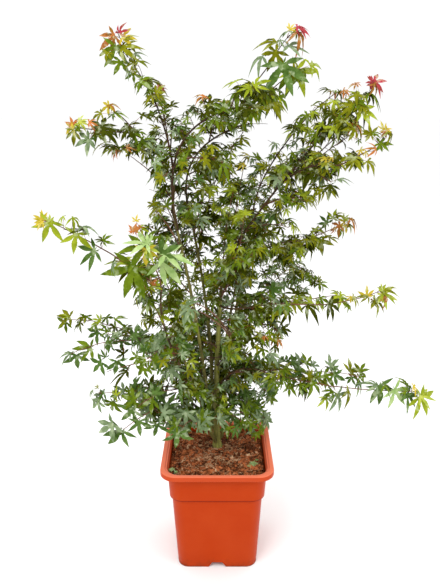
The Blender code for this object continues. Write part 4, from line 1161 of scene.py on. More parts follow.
@dataclass
class Clearings:
    """Gaps in the foliage along lines from one point in front: open sky, and wood that shows."""

    plane: float = 0.035
    width: float = 0.0075
    step: float = 0.006
    margin: float = 0.004
    room: float = 0.34
    shares: Span = (0.25, 0.75)
    behind: float = 0.06
    far: float = 9.0
    ways: np.ndarray = field(default_factory=lambda: np.zeros((0, 3)))
    halves: np.ndarray = field(default_factory=lambda: np.zeros(0))
    limits: np.ndarray = field(default_factory=lambda: np.zeros(0))

    def lay(self, framework: "Framework") -> None:
        """Lay out the lines.

        Args:
            framework: the limbs, some of which show.
        """
        rows: list[tuple[Sequence[float], float, float]] = []
        for gap in OPENINGS:
            spot = sight(gap.across, gap.down, self.plane)
            rows.append((spot, gap.half * (spot - EYE).length / FOCAL, self.far))
        for name, first, last in SHOWN:
            line = framework.spines[name]
            count = max(2, round((last - first) * line.length / self.step))
            rows += [(tuple(line.at(share)[0]), self.width, -self.margin)
                     for share in np.linspace(first, last, count)]
        for mass in MASSES + FINER:
            end = around_foot(mass.heading, mass.reach, mass.height)
            for mark in SET_LEAVES.get(mass.name, ()):
                top = sight(mark.across, mark.down, self.plane)
                tip = sight(mark.tip_across, mark.tip_down, self.plane)
                room = (tip - top).length * self.room + self.margin
                for share in self.shares:
                    spot = top.lerp(tip, share)
                    behind = (end - EYE).length - (spot - EYE).length + self.behind
                    rows.append((spot, room, behind))
        aims = np.array([row[0] for row in rows]) - np.array(EYE)
        reach = np.linalg.norm(aims, axis=1)
        self.ways = aims / reach[:, None]
        self.halves = np.array([row[1] for row in rows]) / reach
        self.limits = reach + np.array([row[2] for row in rows])

    def clear(self, points: np.ndarray) -> bool:
        """Whether any of some points lies in a gap.

        Args:
            points: the points, one a row.

        Returns:
            True if one does.
        """
        off = points - np.array(EYE)
        along = off @ self.ways.T
        aside = np.sqrt(np.maximum((off ** 2).sum(axis=1)[:, None] - along ** 2, 0.0))
        return bool(((aside < self.halves * along) & (along < self.limits)).any())


@dataclass
class Framework:
    """The trunk, its stems and their boughs as round, tapering wood with bark relief."""

    step: float = 0.005
    sides: int = 12
    lead: float = 1.25
    flare: float = 0.45
    flare_height: float = 0.030
    flare_fall: float = 1.5
    collar: float = 0.55
    collar_length: float = 0.009
    node_step: float = 0.034
    node_swell: float = 0.16
    node_length: float = 0.0022
    grain: float = 0.07
    ridges_round: float = 1.6
    ridges_along: float = 45.0
    ridges_shift: float = 9.0
    scar_shift: float = 0.37
    spines: dict[str, Spine] = field(default_factory=dict)

    def lay(self) -> None:
        """Lay out the line and radii of every limb."""
        for limb in LIMBS:
            self.spines[limb.name] = self.spine(limb)

    def spine(self, limb: Limb) -> Spine:
        """Lay out one limb.

        Args:
            limb: its row in the plan.

        Returns:
            Its line, which starts inside its parent.
        """
        end = around_foot(limb.heading, limb.reach, limb.height)
        if limb.parent is None:
            points = bent(FOOT, end, limb.bow, self.step)
        else:
            start, way, radius = self.spines[limb.parent].at(limb.at)
            if limb.at < 1.0:
                turn = math.radians(limb.side)
                toward = Vector((math.cos(turn), math.sin(turn), 0.0))
                way = (toward - way * toward.dot(way)).normalized()
            knee = start + way * (radius + limb.base * self.lead)
            rest = bent(knee, end, limb.bow, self.step)
            points = np.concatenate([[np.array(start)], rest])
        shares = np.linspace(0.0, 1.0, len(points))
        radii = limb.base + (limb.tip - limb.base) * shares
        line = Spine(points, radii)
        if limb.parent is None:
            rise = np.clip(1.0 - (points[:, 2] - FOOT.z) / self.flare_height, 0.0, 1.0)
            line.radii = radii * (1.0 + self.flare * rise ** self.flare_fall)
        else:
            near = np.clip(1.0 - line.run / self.collar_length, 0.0, 1.0)
            line.radii = radii * (1.0 + self.collar * near)
        return line

    def relief(self, line: Spine, seed: float) -> np.ndarray:
        """Unevenness of the bark: long ridges, and a ring at each old leaf scar.

        Args:
            line: the limb's line.
            seed: shifts the pattern from limb to limb.

        Returns:
            A factor for each point of each ring.
        """
        made = np.ones((len(line.points), self.sides))
        for i, along in enumerate(line.run):
            off = (along / self.node_step + seed) % 1.0
            gap = min(off, 1.0 - off) * self.node_step
            scar = math.exp(-(gap / self.node_length) ** 2) * self.node_swell
            for side in range(self.sides):
                turn = 2 * math.pi * side / self.sides
                spot = Vector((math.cos(turn) * self.ridges_round, math.sin(turn) * self.ridges_round,
                               along * self.ridges_along + seed * self.ridges_shift))
                made[i, side] += scar + noise.noise(spot) * self.grain
        return made

    def build(self) -> None:
        """Make the pieces and seat them."""
        kinds = {
            "trunk": BarkFinish("bark_trunk", (0.300, 0.300, 0.070), (0.120, 0.115, 0.028),
                                (0.46, 0.44, 0.20)),
            "stem": BarkFinish("bark_stems", (0.210, 0.195, 0.045), (0.075, 0.062, 0.018),
                               (0.40, 0.36, 0.18)),
            "bough": BarkFinish("bark_boughs", (0.110, 0.062, 0.022), (0.034, 0.022, 0.010),
                                (0.26, 0.17, 0.09)),
        }
        for kind, finish in kinds.items():
            bin_ = Bin()
            members = [limb.name for limb in LIMBS if limb.name.startswith(kind)]
            for number, name in enumerate(members):
                line = self.spines[name]
                bin_.add(*line.tube(self.sides, self.relief(line, number * self.scar_shift)))
            seat(bin_.build(f"{kind}_wood", finish.material()), "bark", *members)


# --- leaves ---
@dataclass(frozen=True)
class LeafCut:
    """Outline of a leaf in leaf lengths, round the top of its stalk.

    Lobes are pairs of an angle off the middle and a length; stations are pairs of a share of
    the lobe's length and a share of its greatest width.
    """

    lobes: tuple[Span, ...]
    cut: float
    width: float
    stations: tuple[Span, ...] = ((0.30, 0.62), (0.47, 1.0), (0.66, 0.80), (0.85, 0.34))
    droop: Span = (0.10, 0.60)
    fold: Span = (0.20, 0.55)
    heel: float = 36.0
    heel_cut: float = 0.62
    turns: float = 7.0
    reaches: Span = (0.86, 1.10)
    lift: float = 0.25
    sway: float = 0.14
    hangs: Span = (0.7, 1.5)

    def shape(self, dice: random.Random) -> tuple[np.ndarray, Faces]:
        """Make one leaf of this outline, with its own droop, fold and curl.

        Args:
            dice: the random numbers.

        Returns:
            Points and faces: the middle lobe along +X, the upper side towards +Z.
        """
        droop = dice.uniform(*self.droop)
        fold = dice.uniform(*self.fold)
        spine = [(-angle, reach) for angle, reach in self.lobes[:0:-1]] + list(self.lobes)
        spine = [(angle + dice.uniform(-self.turns, self.turns), reach * dice.uniform(*self.reaches))
                 for angle, reach in spine]
        points: list[Triple] = [(0.0, 0.0, 0.0)]
        cuts: list[int] = []
        edges = [spine[0][0] - self.heel]
        edges += [(a[0] + b[0]) / 2 for a, b in zip(spine, spine[1:])]
        edges.append(spine[-1][0] + self.heel)
        for i, angle in enumerate(edges):
            near = [spine[j][1] for j in (i - 1, i) if 0 <= j < len(spine)]
            reach = self.cut * (min(near) if len(near) > 1 else min(near) * self.heel_cut)
            turn = math.radians(angle)
            cuts.append(len(points))
            points.append((reach * math.cos(turn), reach * math.sin(turn),
                           reach * fold * self.lift - droop * reach ** 2))
        triangles: list[tuple[int, ...]] = []
        quads: list[tuple[int, ...]] = []
        for i, (angle, reach) in enumerate(spine):
            turn = math.radians(angle)
            sway = dice.uniform(-self.sway, self.sway)
            hang = droop * dice.uniform(*self.hangs)

            def spot(x: float, y: float, lift: float) -> Triple:
                """A point of this lobe, by its place along it, aside and over its midrib."""
                return (x * math.cos(turn) - y * math.sin(turn),
                        x * math.sin(turn) + y * math.cos(turn), lift - hang * x ** 2)

            rows: list[tuple[int, ...]] = []
            for share, wide in self.stations:
                x = reach * share
                half = self.width * wide * reach
                rows.append(tuple(len(points) + k for k in range(3)))
                points += [spot(x, hand * half + sway * reach * share ** 2, abs(hand) * fold * half)
                           for hand in (-1, 0, 1)]
            tip = len(points)
            points.append(spot(reach, sway * reach, 0.0))
            low, high = cuts[i], cuts[i + 1]
            first, last = rows[0], rows[-1]
            triangles += [(0, low, first[1]), (low, first[0], first[1]),
                          (0, first[1], high), (high, first[1], first[2])]
            for a, b in zip(rows, rows[1:]):
                quads += [(a[0], b[0], b[1], a[1]), (a[1], b[1], b[2], a[2])]
            triangles += [(last[0], tip, last[1]), (last[1], tip, last[2])]
        return np.array(points), [np.array(triangles), np.array(quads)]


TOOTHED = ((0.20, 0.50), (0.27, 0.76), (0.30, 0.69), (0.38, 0.97), (0.41, 0.90), (0.50, 1.0),
           (0.53, 0.90), (0.62, 0.88), (0.65, 0.76), (0.74, 0.64), (0.77, 0.53), (0.87, 0.34))
FIVE = LeafCut(((0, 1.0), (50, 0.90), (104, 0.64)), 0.26, 0.158)
NARROW = LeafCut(((0, 1.0), (44, 0.86), (90, 0.56)), 0.23, 0.132, droop=(0.4, 0.9), fold=(0.5, 1.0))
SEVEN = LeafCut(((0, 1.0), (37, 0.92), (76, 0.72), (122, 0.36)), 0.29, 0.124)
LARGE = LeafCut(((0, 1.0), (48, 0.90), (98, 0.62), (140, 0.20)), 0.24, 0.128, TOOTHED,
                (0.05, 0.25), (0.25, 0.45))
HANGING = LeafCut(((0, 1.0), (46, 0.90), (96, 0.62)), 0.22, 0.130, droop=(0.30, 0.85), fold=(0.4, 0.9))
CUTS = (FIVE, FIVE, FIVE, NARROW, FIVE, SEVEN)


@dataclass
class Foliage:
    """Leaves by colour, as places for a few patterns of leaf."""

    patterns: int = 18
    hanging: int = 8
    large: int = 6
    places: dict[Tint, list[tuple[int, np.ndarray, np.ndarray]]] = field(default_factory=dict)

    def put(self, tint: Tint, pattern: int, turned: np.ndarray, point: Vector) -> None:
        """Place one leaf.

        Args:
            tint: its colour.
            pattern: which pattern of leaf it takes.
            turned: its axes as columns, in metres for a leaf length.
            point: the top of its stalk.
        """
        self.places.setdefault(tint, []).append((pattern, turned, np.array(point)))

    def count(self) -> int:
        """How many leaves there are."""
        return sum(len(rows) for rows in self.places.values())

    def build(self) -> None:
        """Make one piece of each colour and seat it."""
        dice = random.Random(SEED)
        shapes = [CUTS[number % len(CUTS)].shape(dice) for number in range(self.patterns)]
        shapes += [HANGING.shape(dice) for _ in range(self.hanging)]
        shapes += [LARGE.shape(dice) for _ in range(self.large)]
        for tint in Tint:
            rows = self.places.get(tint)
            if not rows:
                continue
            bin_ = Bin()
            for number, (points, faces) in enumerate(shapes):
                chosen = [row for row in rows if row[0] == number]
                if not chosen:
                    continue
                turned = np.array([row[1] for row in chosen])
                origins = np.array([row[2] for row in chosen])
                placed = np.einsum("nij,kj->nki", turned, points) + origins[:, None, :]
                shift = np.arange(len(chosen))[:, None, None] * len(points)
                blocks = [(block[None] + shift).reshape(-1, block.shape[1]) for block in faces]
                bin_.add(placed.reshape(-1, 3), blocks)
            LOG.info("%s: %d leaves, %d triangles", tint.piece, len(rows), bin_.triangles())
            seat(bin_.build(tint.piece, tint.material()), tint.slot)


# --- shoots ---
@dataclass
class Canopy:
    """Every leafy shoot: a stem grown on from a limb, side twigs in pairs, and leaf pairs."""

    framework: Framework
    clearings: Clearings = field(default_factory=Clearings)
    foliage: Foliage = field(default_factory=Foliage)
    shoots: Bin = field(default_factory=Bin)
    twigs: Bin = field(default_factory=Bin)
    stalks: Bin = field(default_factory=Bin)
    stem_radius: float = 0.0012
    twig_radius: float = 0.0007
    tip_radius: float = 0.0004
    stalk_radius: float = 0.00042
    young_size: float = 0.85
    probes: tuple[float, ...] = (0.1, 0.4, 0.75)
    stem_step: float = 0.008
    node_gap: float = 0.021
    twig_gap: float = 0.019
    tip_room: float = 0.018
    first_node: float = 0.020
    twig_room: Span = (1.25, 0.60)
    twig_sizes: Span = (0.45, 1.0)
    twig_least: float = 0.016
    twig_ahead: float = 0.65
    twig_aside: Span = (0.60, 1.10)
    twig_lift: float = 0.45
    twig_sag: float = 0.10
    space_share: float = 1.15
    space_more: float = 0.020
    light: Triple = (-0.06, -0.38, 0.0)
    low_light: Triple = (-0.06, -0.95, -0.10)
    pot_half: float = 0.136
    pot_top: float = 0.278
    most_front: int = 3
    set_size: float = 1.08
    set_lead: float = 0.0012
    large_from: float = 0.042
    stem_turn: float = 0.6
    stem_knee: float = 1.5
    stem_stray: float = 0.0022
    stem_most: float = 0.95
    stem_base: float = 1.35
    stem_tip: float = 1.8
    first_room: Span = (0.8, 1.4)
    node_room: Span = (0.75, 1.20)
    end_room: float = 0.006
    twigs_to: float = 0.86
    tips_then: float = 0.65
    shoot_sides: int = 7
    stray_seeds: float = 100.0
    stray_scale: float = 26.0
    upright: float = 0.45
    pair_turn: float = 90.0
    pair_stray: float = 35.0
    twig_bend: float = 0.1
    twig_bow: float = 0.10
    twig_stray: float = 0.0012
    twig_leaves: Span = (0.78, 1.0)
    twig_first: Span = (0.6, 1.1)
    twig_last: float = 0.4
    gap_room: Span = (0.75, 1.15)
    twig_tips: Span = (0.5, 0.5)
    twig_sides: int = 5
    tip_place: float = 0.985
    tip_fan: tuple[float, ...] = (0.0, 62.0, -62.0)
    tip_stray: float = 14.0
    tip_pair: float = 0.95
    tip_single: float = 0.80
    leaf_sizes: Span = (0.79, 1.23)
    stalk_lengths: Span = (0.30, 0.62)
    stalk_rise: Span = (-0.10, 0.70)
    stalk_sag: float = 0.12
    stalk_bow: float = 0.08
    stalk_taper: tuple[float, ...] = (1.25, 0.9, 0.8)
    stalk_sides: int = 3
    outward: float = 0.35
    face_up: Span = (0.45, 1.0)
    face_out: Span = (0.0, 0.75)
    face_stray: float = 0.20
    set_front: Span = (0.1, 0.9)
    set_up: float = 0.75
    set_open: float = 0.5
    inner_step: float = 0.029
    inner_from: float = 0.36
    inner_run: Span = (0.12, 0.98)
    inner_spread: float = 0.100
    inner_leaves: Span = (0.022, 0.031)
    inner_turn: float = 0.5
    inner_rise: Span = (-0.1, 0.6)
    inner_ahead: float = 0.5
    inner_reach: Span = (0.018, 0.070)
    inner_room: Span = (0.7, 1.3)
    seedling_up: float = 0.004
    seedling_turn: float = 0.3
    seedling_rise: Span = (0.2, 1.1)
    seedling_sizes: Span = (0.6, 1.1)

    def grow(self) -> None:
        """Grow every mass's shoot and the short leafy twigs along the limbs."""
        # Unless it is seeded, noise_vector starts from the clock and every run differs.
        noise.seed_set(SEED)
        self.clearings.lay(self.framework)
        for number, mass in enumerate(MASSES + FINER):
            stem = self.grow_mass(mass, random.Random(SEED + number))
            self.framework.spines[mass.name] = stem
        for number, limb in enumerate(LIMBS):
            self.grow_inner(limb, random.Random(INNER_SEED + number))
        for name, rows in SET_LEAVES.items():
            for number, mark in enumerate(rows):
                self.set_leaf(self.framework.spines[name], mark, number)
        self.sow()

    def sow(self) -> None:
        """Put the seedlings on the compost: rosettes of small narrow leaves."""
        dice = random.Random(SOWING_SEED)
        for x, y, reach, blades in SEEDLINGS:
            root = Vector((x, y, SOIL_TOP + self.seedling_up))
            for number in range(blades):
                turn = 2 * math.pi * number / blades
                turn += dice.uniform(-self.seedling_turn, self.seedling_turn)
                ahead = Vector((math.cos(turn), math.sin(turn), dice.uniform(*self.seedling_rise)))
                ahead.normalize()
                face = (Vector((0, 0, 1)) - ahead * ahead.z).normalized()
                turned = np.array([ahead, face.cross(ahead), face]).T * reach
                turned *= dice.uniform(*self.seedling_sizes)
                self.foliage.put(PALE, self.foliage.patterns, turned, root)

    def grow_mass(self, mass: Mass, dice: random.Random) -> Spine:
        """Grow one mass: its stem, side twigs and leaves.

        Args:
            mass: its row in the plan.
            dice: the random numbers.

        Returns:
            Its stem's line.
        """
        start, way, radius = self.framework.spines[mass.parent].at(mass.at)
        end = around_foot(mass.heading, mass.reach, mass.height)
        toward = (end - start).normalized()
        end = end - toward * self.tip_room
        if mass.at < 1.0:
            way = (toward - way * toward.dot(way) * self.stem_turn).normalized()
        knee = start + way * (radius + self.stem_radius * self.stem_knee)
        points = np.concatenate([[np.array(start)], bent(knee, end, mass.bow, self.stem_step)])
        points = self.wander(points, dice, self.stem_stray)
        base = min(radius * self.stem_most, self.stem_radius * self.stem_base)
        line = Spine(points, np.linspace(base, self.tip_radius * self.stem_tip, len(points)))
        along = self.first_node * dice.uniform(*self.first_room)
        node, last = 0, 0.0
        while along < line.length - self.end_room:
            share = along / line.length
            point, ahead, girth = line.at(share)
            before = self.foliage.count()
            for hand in (-1, 1):
                out = self.side_way(ahead, hand, node, dice)
                low, high = self.twig_room
                room = mass.spread * mass.side * (low + (high - low) * share)
                room *= dice.uniform(*self.twig_sizes)
                if room > self.twig_least and share < self.twigs_to:
                    self.side_twig(point, out, room, mass, share, dice, line)
                elif dice.random() < mass.fill:
                    young = share > self.twigs_to and dice.random() < self.tips_then
                    tints = mass.tip if young else mass.body
                    self.leaf(point, out, girth, mass.leaf, dice.choice(tints), dice, line, mass)
            if self.foliage.count() > before:
                last = share
            along += self.node_gap * dice.uniform(*self.node_room)
            node += 1
        before = self.foliage.count()
        self.finish_tip(line, mass, dice, mass.tip)
        if self.foliage.count() > before:
            last = 1.0
        if last or mass.name in SET_LEAVES:
            last = max(last, float(mass.name in SET_LEAVES))
            self.shoots.add(*line.part(last).tube(self.shoot_sides))
        return line

    def wander(self, points: np.ndarray, dice: random.Random, most: float) -> np.ndarray:
        """Let a line stray a little from its smooth course, but not at its ends.

        Args:
            points: the line's points.
            dice: the random numbers.
            most: how far it strays.

        Returns:
            The new points.
        """
        seed = dice.uniform(0, self.stray_seeds)
        moved = points.copy()
        for i in range(1, len(points) - 1):
            fade = min(1.0, i / 3, (len(points) - 1 - i) / 2)
            spot = Vector(points[i]) * self.stray_scale + Vector((seed, seed, seed))
            moved[i] += np.array(noise.noise_vector(spot)) * most * fade
        return moved

    def side_way(self, way: Vector, hand: int, node: int, dice: random.Random) -> Vector:
        """Direction of one of a pair of side twigs or leaves.

        Args:
            way: the stem's direction.
            hand: -1 or 1.
            node: the pair's number, because pairs stand by turns.
            dice: the random numbers.

        Returns:
            The direction.
        """
        flat = Vector((way.x, way.y, 0.0))
        if flat.length < self.upright:
            stray = dice.uniform(-self.pair_stray, self.pair_stray)
            turn = math.radians(self.pair_turn * (node % 2) + stray)
            flat = Vector((math.cos(turn), math.sin(turn), 0.0))
        flat.normalize()
        aside = Vector((-flat.y, flat.x, 0.0)) * hand
        lift = self.twig_lift * hand if node % 2 else 0.0
        spread = dice.uniform(*self.twig_aside)
        return (way * self.twig_ahead + aside * spread + Vector((0, 0, lift))).normalized()

    def side_twig(self, point: Vector, out: Vector, reach: float, mass: Mass, share: float,
                  dice: random.Random, lead: Spine) -> None:
        """Grow one side twig with leaf pairs and leaves at its tip.

        Args:
            point: where it leaves its stem.
            out: its direction.
            reach: its length.
            mass: the mass that it belongs to.
            share: how far along the stem it stands.
            dice: the random numbers.
            lead: the mass's stem.
        """
        end = point + out * reach - Vector((0, 0, self.twig_sag * reach))
        bow = (0.0, dice.uniform(-self.twig_bend, self.twig_bend) * reach, self.twig_bow * reach)
        points = self.wander(bent(point, end, bow, self.stem_step), dice, self.twig_stray)
        line = Spine(points, np.linspace(self.twig_radius, self.tip_radius, len(points)))
        before = self.foliage.count()
        size = mass.leaf * dice.uniform(*self.twig_leaves)
        along = self.twig_gap * dice.uniform(*self.twig_first)
        node = dice.randrange(2)
        while along < line.length - self.twig_gap * self.twig_last:
            spot, ahead, girth = line.at(along / line.length)
            for hand in (-1, 1):
                if dice.random() < mass.fill:
                    turned = self.side_way(ahead, hand, node, dice)
                    tint = dice.choice(mass.body)
                    self.leaf(spot, turned, girth, size, tint, dice, lead, mass)
            along += self.twig_gap * dice.uniform(*self.gap_room)
            node += 1
        from_share, chance = self.twig_tips
        tints = mass.tip if share > from_share and dice.random() < chance else mass.body
        self.finish_tip(line, mass, dice, tints, lead, size)
        if self.foliage.count() > before:
            self.twigs.add(*line.tube(self.twig_sides))

    def finish_tip(self, line: Spine, mass: Mass, dice: random.Random, tints: Mixed,
                   lead: Optional[Spine] = None, size: float = 0.0) -> None:
        """Put the youngest leaves on a shoot's tip: a pair and one that ends it.

        Args:
            line: the shoot.
            mass: the mass that it belongs to.
            dice: the random numbers.
            tints: the colours to choose from.
            lead: the mass's stem, if the shoot is a side twig.
            size: length of the leaves, if not the mass's.
        """
        spot, way, _ = line.at(self.tip_place)
        for turn in self.tip_fan:
            if turn and dice.random() > mass.fill:
                continue
            turned = math.radians(turn + dice.uniform(-self.tip_stray, self.tip_stray))
            out = Matrix.Rotation(turned, 3, "Z") @ way
            length = (size or mass.leaf) * (self.tip_pair if turn else self.tip_single)
            self.leaf(spot, out, 0.0, length, dice.choice(tints), dice, lead or line, mass)

    def leaf(self, point: Vector, out: Vector, girth: float, size: float, tint: Tint,
             dice: random.Random, lead: Spine, mass: Mass) -> None:
        """Put one leaf on its stalk, or none where it would leave its space or enter the pot.

        Args:
            point: where its stalk stands.
            out: its stalk's direction.
            girth: the twig's radius there.
            size: its length.
            tint: its colour.
            dice: the random numbers.
            lead: the stem that it has to stay near.
            mass: the mass that it belongs to.
        """
        young = tint in YOUNG
        size *= dice.uniform(*self.leaf_sizes) * (self.young_size if young else 1.0)
        stalk = size * dice.uniform(*self.stalk_lengths)
        way = (out + Vector((0, 0, dice.uniform(*self.stalk_rise)))).normalized()
        top = point + way * (girth + stalk) - Vector((0, 0, stalk * self.stalk_sag))
        level = Vector((way.x, way.y, 0.0))
        away = Vector((top.x - FOOT.x, top.y - FOOT.y, 0.0)).normalized() * self.outward + level
        face = Vector((0, 0, dice.uniform(*self.face_up))) + away * dice.uniform(*self.face_out)
        light = self.low_light if mass.body is LOW else self.light
        face += Vector(light) + Vector([dice.gauss(0, self.face_stray) for _ in range(3)])
        kinds = self.foliage
        pattern = dice.randrange(kinds.patterns)
        if young or dice.random() < mass.hang:
            pattern = kinds.patterns + dice.randrange(kinds.hanging)
        space = mass.spread * self.space_share + self.space_more
        self.blade(point, top, way, face, size, tint, pattern, lead, space)

    def blade(self, point: Vector, top: Vector, way: Vector, face: Vector, size: float,
              tint: Tint, pattern: int, lead: Optional[Spine] = None, space: float = 1.0) -> None:
        """Put one leaf and its stalk, if its tip stays in its space and out of the pot.

        Args:
            point: where its stalk stands.
            top: its stalk's top.
            way: its stalk's direction.
            face: where its upper side faces.
            size: its length.
            tint: its colour.
            pattern: which pattern of leaf it takes.
            lead: the stem that it has to stay near, if any.
            space: how far it may reach from that stem.
        """
        face = face.normalized()
        ahead = (way - face * way.dot(face)).normalized()
        tip = top + ahead * size
        if lead and np.linalg.norm(lead.points - np.array(tip), axis=1).min() > space:
            return
        along = np.array(top)[None, :] + np.outer(self.probes, np.array(ahead * size))
        if lead and self.clearings.clear(along):
            return
        if max(abs(tip.x), abs(tip.y)) < self.pot_half and tip.z < self.pot_top:
            return
        self.stalks.add(*self.stalk(point, top, way).tube(self.stalk_sides))
        turned = np.array([ahead, face.cross(ahead), face]).T * size
        self.foliage.put(tint, pattern, turned, top)

    def set_leaf(self, line: Spine, mark: Mark, number: int) -> None:
        """Put one leaf at a place of its own, as far off as its stem is there.

        Args:
            line: its stem.
            mark: where it is in the frame.
            number: its number on that stem.
        """
        share = mark.front / self.most_front
        aim = sight(mark.across, mark.down, FOOT.y) - EYE
        tip_aim = sight(mark.tip_across, mark.tip_down, FOOT.y) - EYE
        off = line.points - np.array(EYE)
        depths = off[:, 1] / aim.y
        near = int(np.linalg.norm(off / depths[:, None] - np.array(aim), axis=1).argmin())
        depth = depths[near] * (1 - self.set_lead * number)
        top, tip = EYE + aim * depth, EYE + tip_aim * depth
        ahead = (tip - top).normalized()
        least, more = self.set_front
        face = -aim.normalized() * (least + more * share) + Vector((0, 0, 1 - self.set_up * share))
        face = face - ahead * face.dot(ahead)
        size = (tip - top).length * self.set_size
        kinds = self.foliage
        pattern = kinds.patterns + number % kinds.hanging
        if size > self.large_from:
            pattern = kinds.patterns + kinds.hanging + number % kinds.large
        elif share > self.set_open:
            pattern = number % kinds.patterns
        self.blade(Vector(line.points[max(1, near - 1)]), top, ahead, face, size, mark.tint, pattern)

    def stalk(self, point: Vector, top: Vector, way: Vector) -> Spine:
        """The line of a leaf's stalk.

        Args:
            point: its foot, inside the twig.
            top: its top, where the blade is.
            way: the direction in which it leaves the twig.

        Returns:
            The line.
        """
        middle = (point + top) / 2 + way * (top - point).length * self.stalk_bow
        return Spine(np.array([point, middle, top]), np.array(self.stalk_taper) * self.stalk_radius)

    def grow_inner(self, limb: Limb, dice: random.Random) -> None:
        """Grow short leafy twigs along a limb inside the crown.

        Args:
            limb: its row in the plan.
            dice: the random numbers.
        """
        line = self.framework.spines[limb.name]
        first, last = self.inner_run
        along = line.length * first
        while along < line.length * last:
            point, way, radius = line.at(along / line.length)
            if point.z > self.inner_from:
                body = dice.choice((INNER, DARK, GREEN))
                mass = Mass("inner", limb.name, 0.0, 0, 0.0, 0.0, self.inner_spread, body, body,
                            leaf=dice.uniform(*self.inner_leaves))
                one = dice.uniform(0, 2 * math.pi)
                other = one + math.pi + dice.uniform(-self.inner_turn, self.inner_turn)
                for turn in (one, other):
                    out = Vector((math.cos(turn), math.sin(turn), dice.uniform(*self.inner_rise)))
                    out = (out.normalized() + way * self.inner_ahead).normalized()
                    reach = dice.uniform(*self.inner_reach)
                    self.side_twig(point, out, reach, mass, 0.0, dice, line)
            along += self.inner_step * dice.uniform(*self.inner_room)

    def build(self) -> None:
        """Make the twigs, the stalks and the leaves, and seat them."""
        LOG.info("canopy: %d leaves", self.foliage.count())
        wood = BarkFinish("bark_twigs", (0.085, 0.040, 0.022), (0.038, 0.018, 0.012),
                          (0.17, 0.10, 0.06), 0.50)
        young = BarkFinish("bark_shoots", (0.190, 0.072, 0.040), (0.095, 0.050, 0.024),
                           (0.30, 0.18, 0.10), 0.46)
        seat(self.shoots.build("shoots", young.material()), "bark", *[m.name for m in MASSES])
        seat(self.twigs.build("twigs", wood.material()), "bark")
        red = LeafFinish("leaf_stalk_skin", (0.300, 0.060, 0.040), (0.170, 0.070, 0.022), 0.40)
        seat(self.stalks.build("leaf_stalks", red.material()), "bronze leaf")
        self.foliage.build()


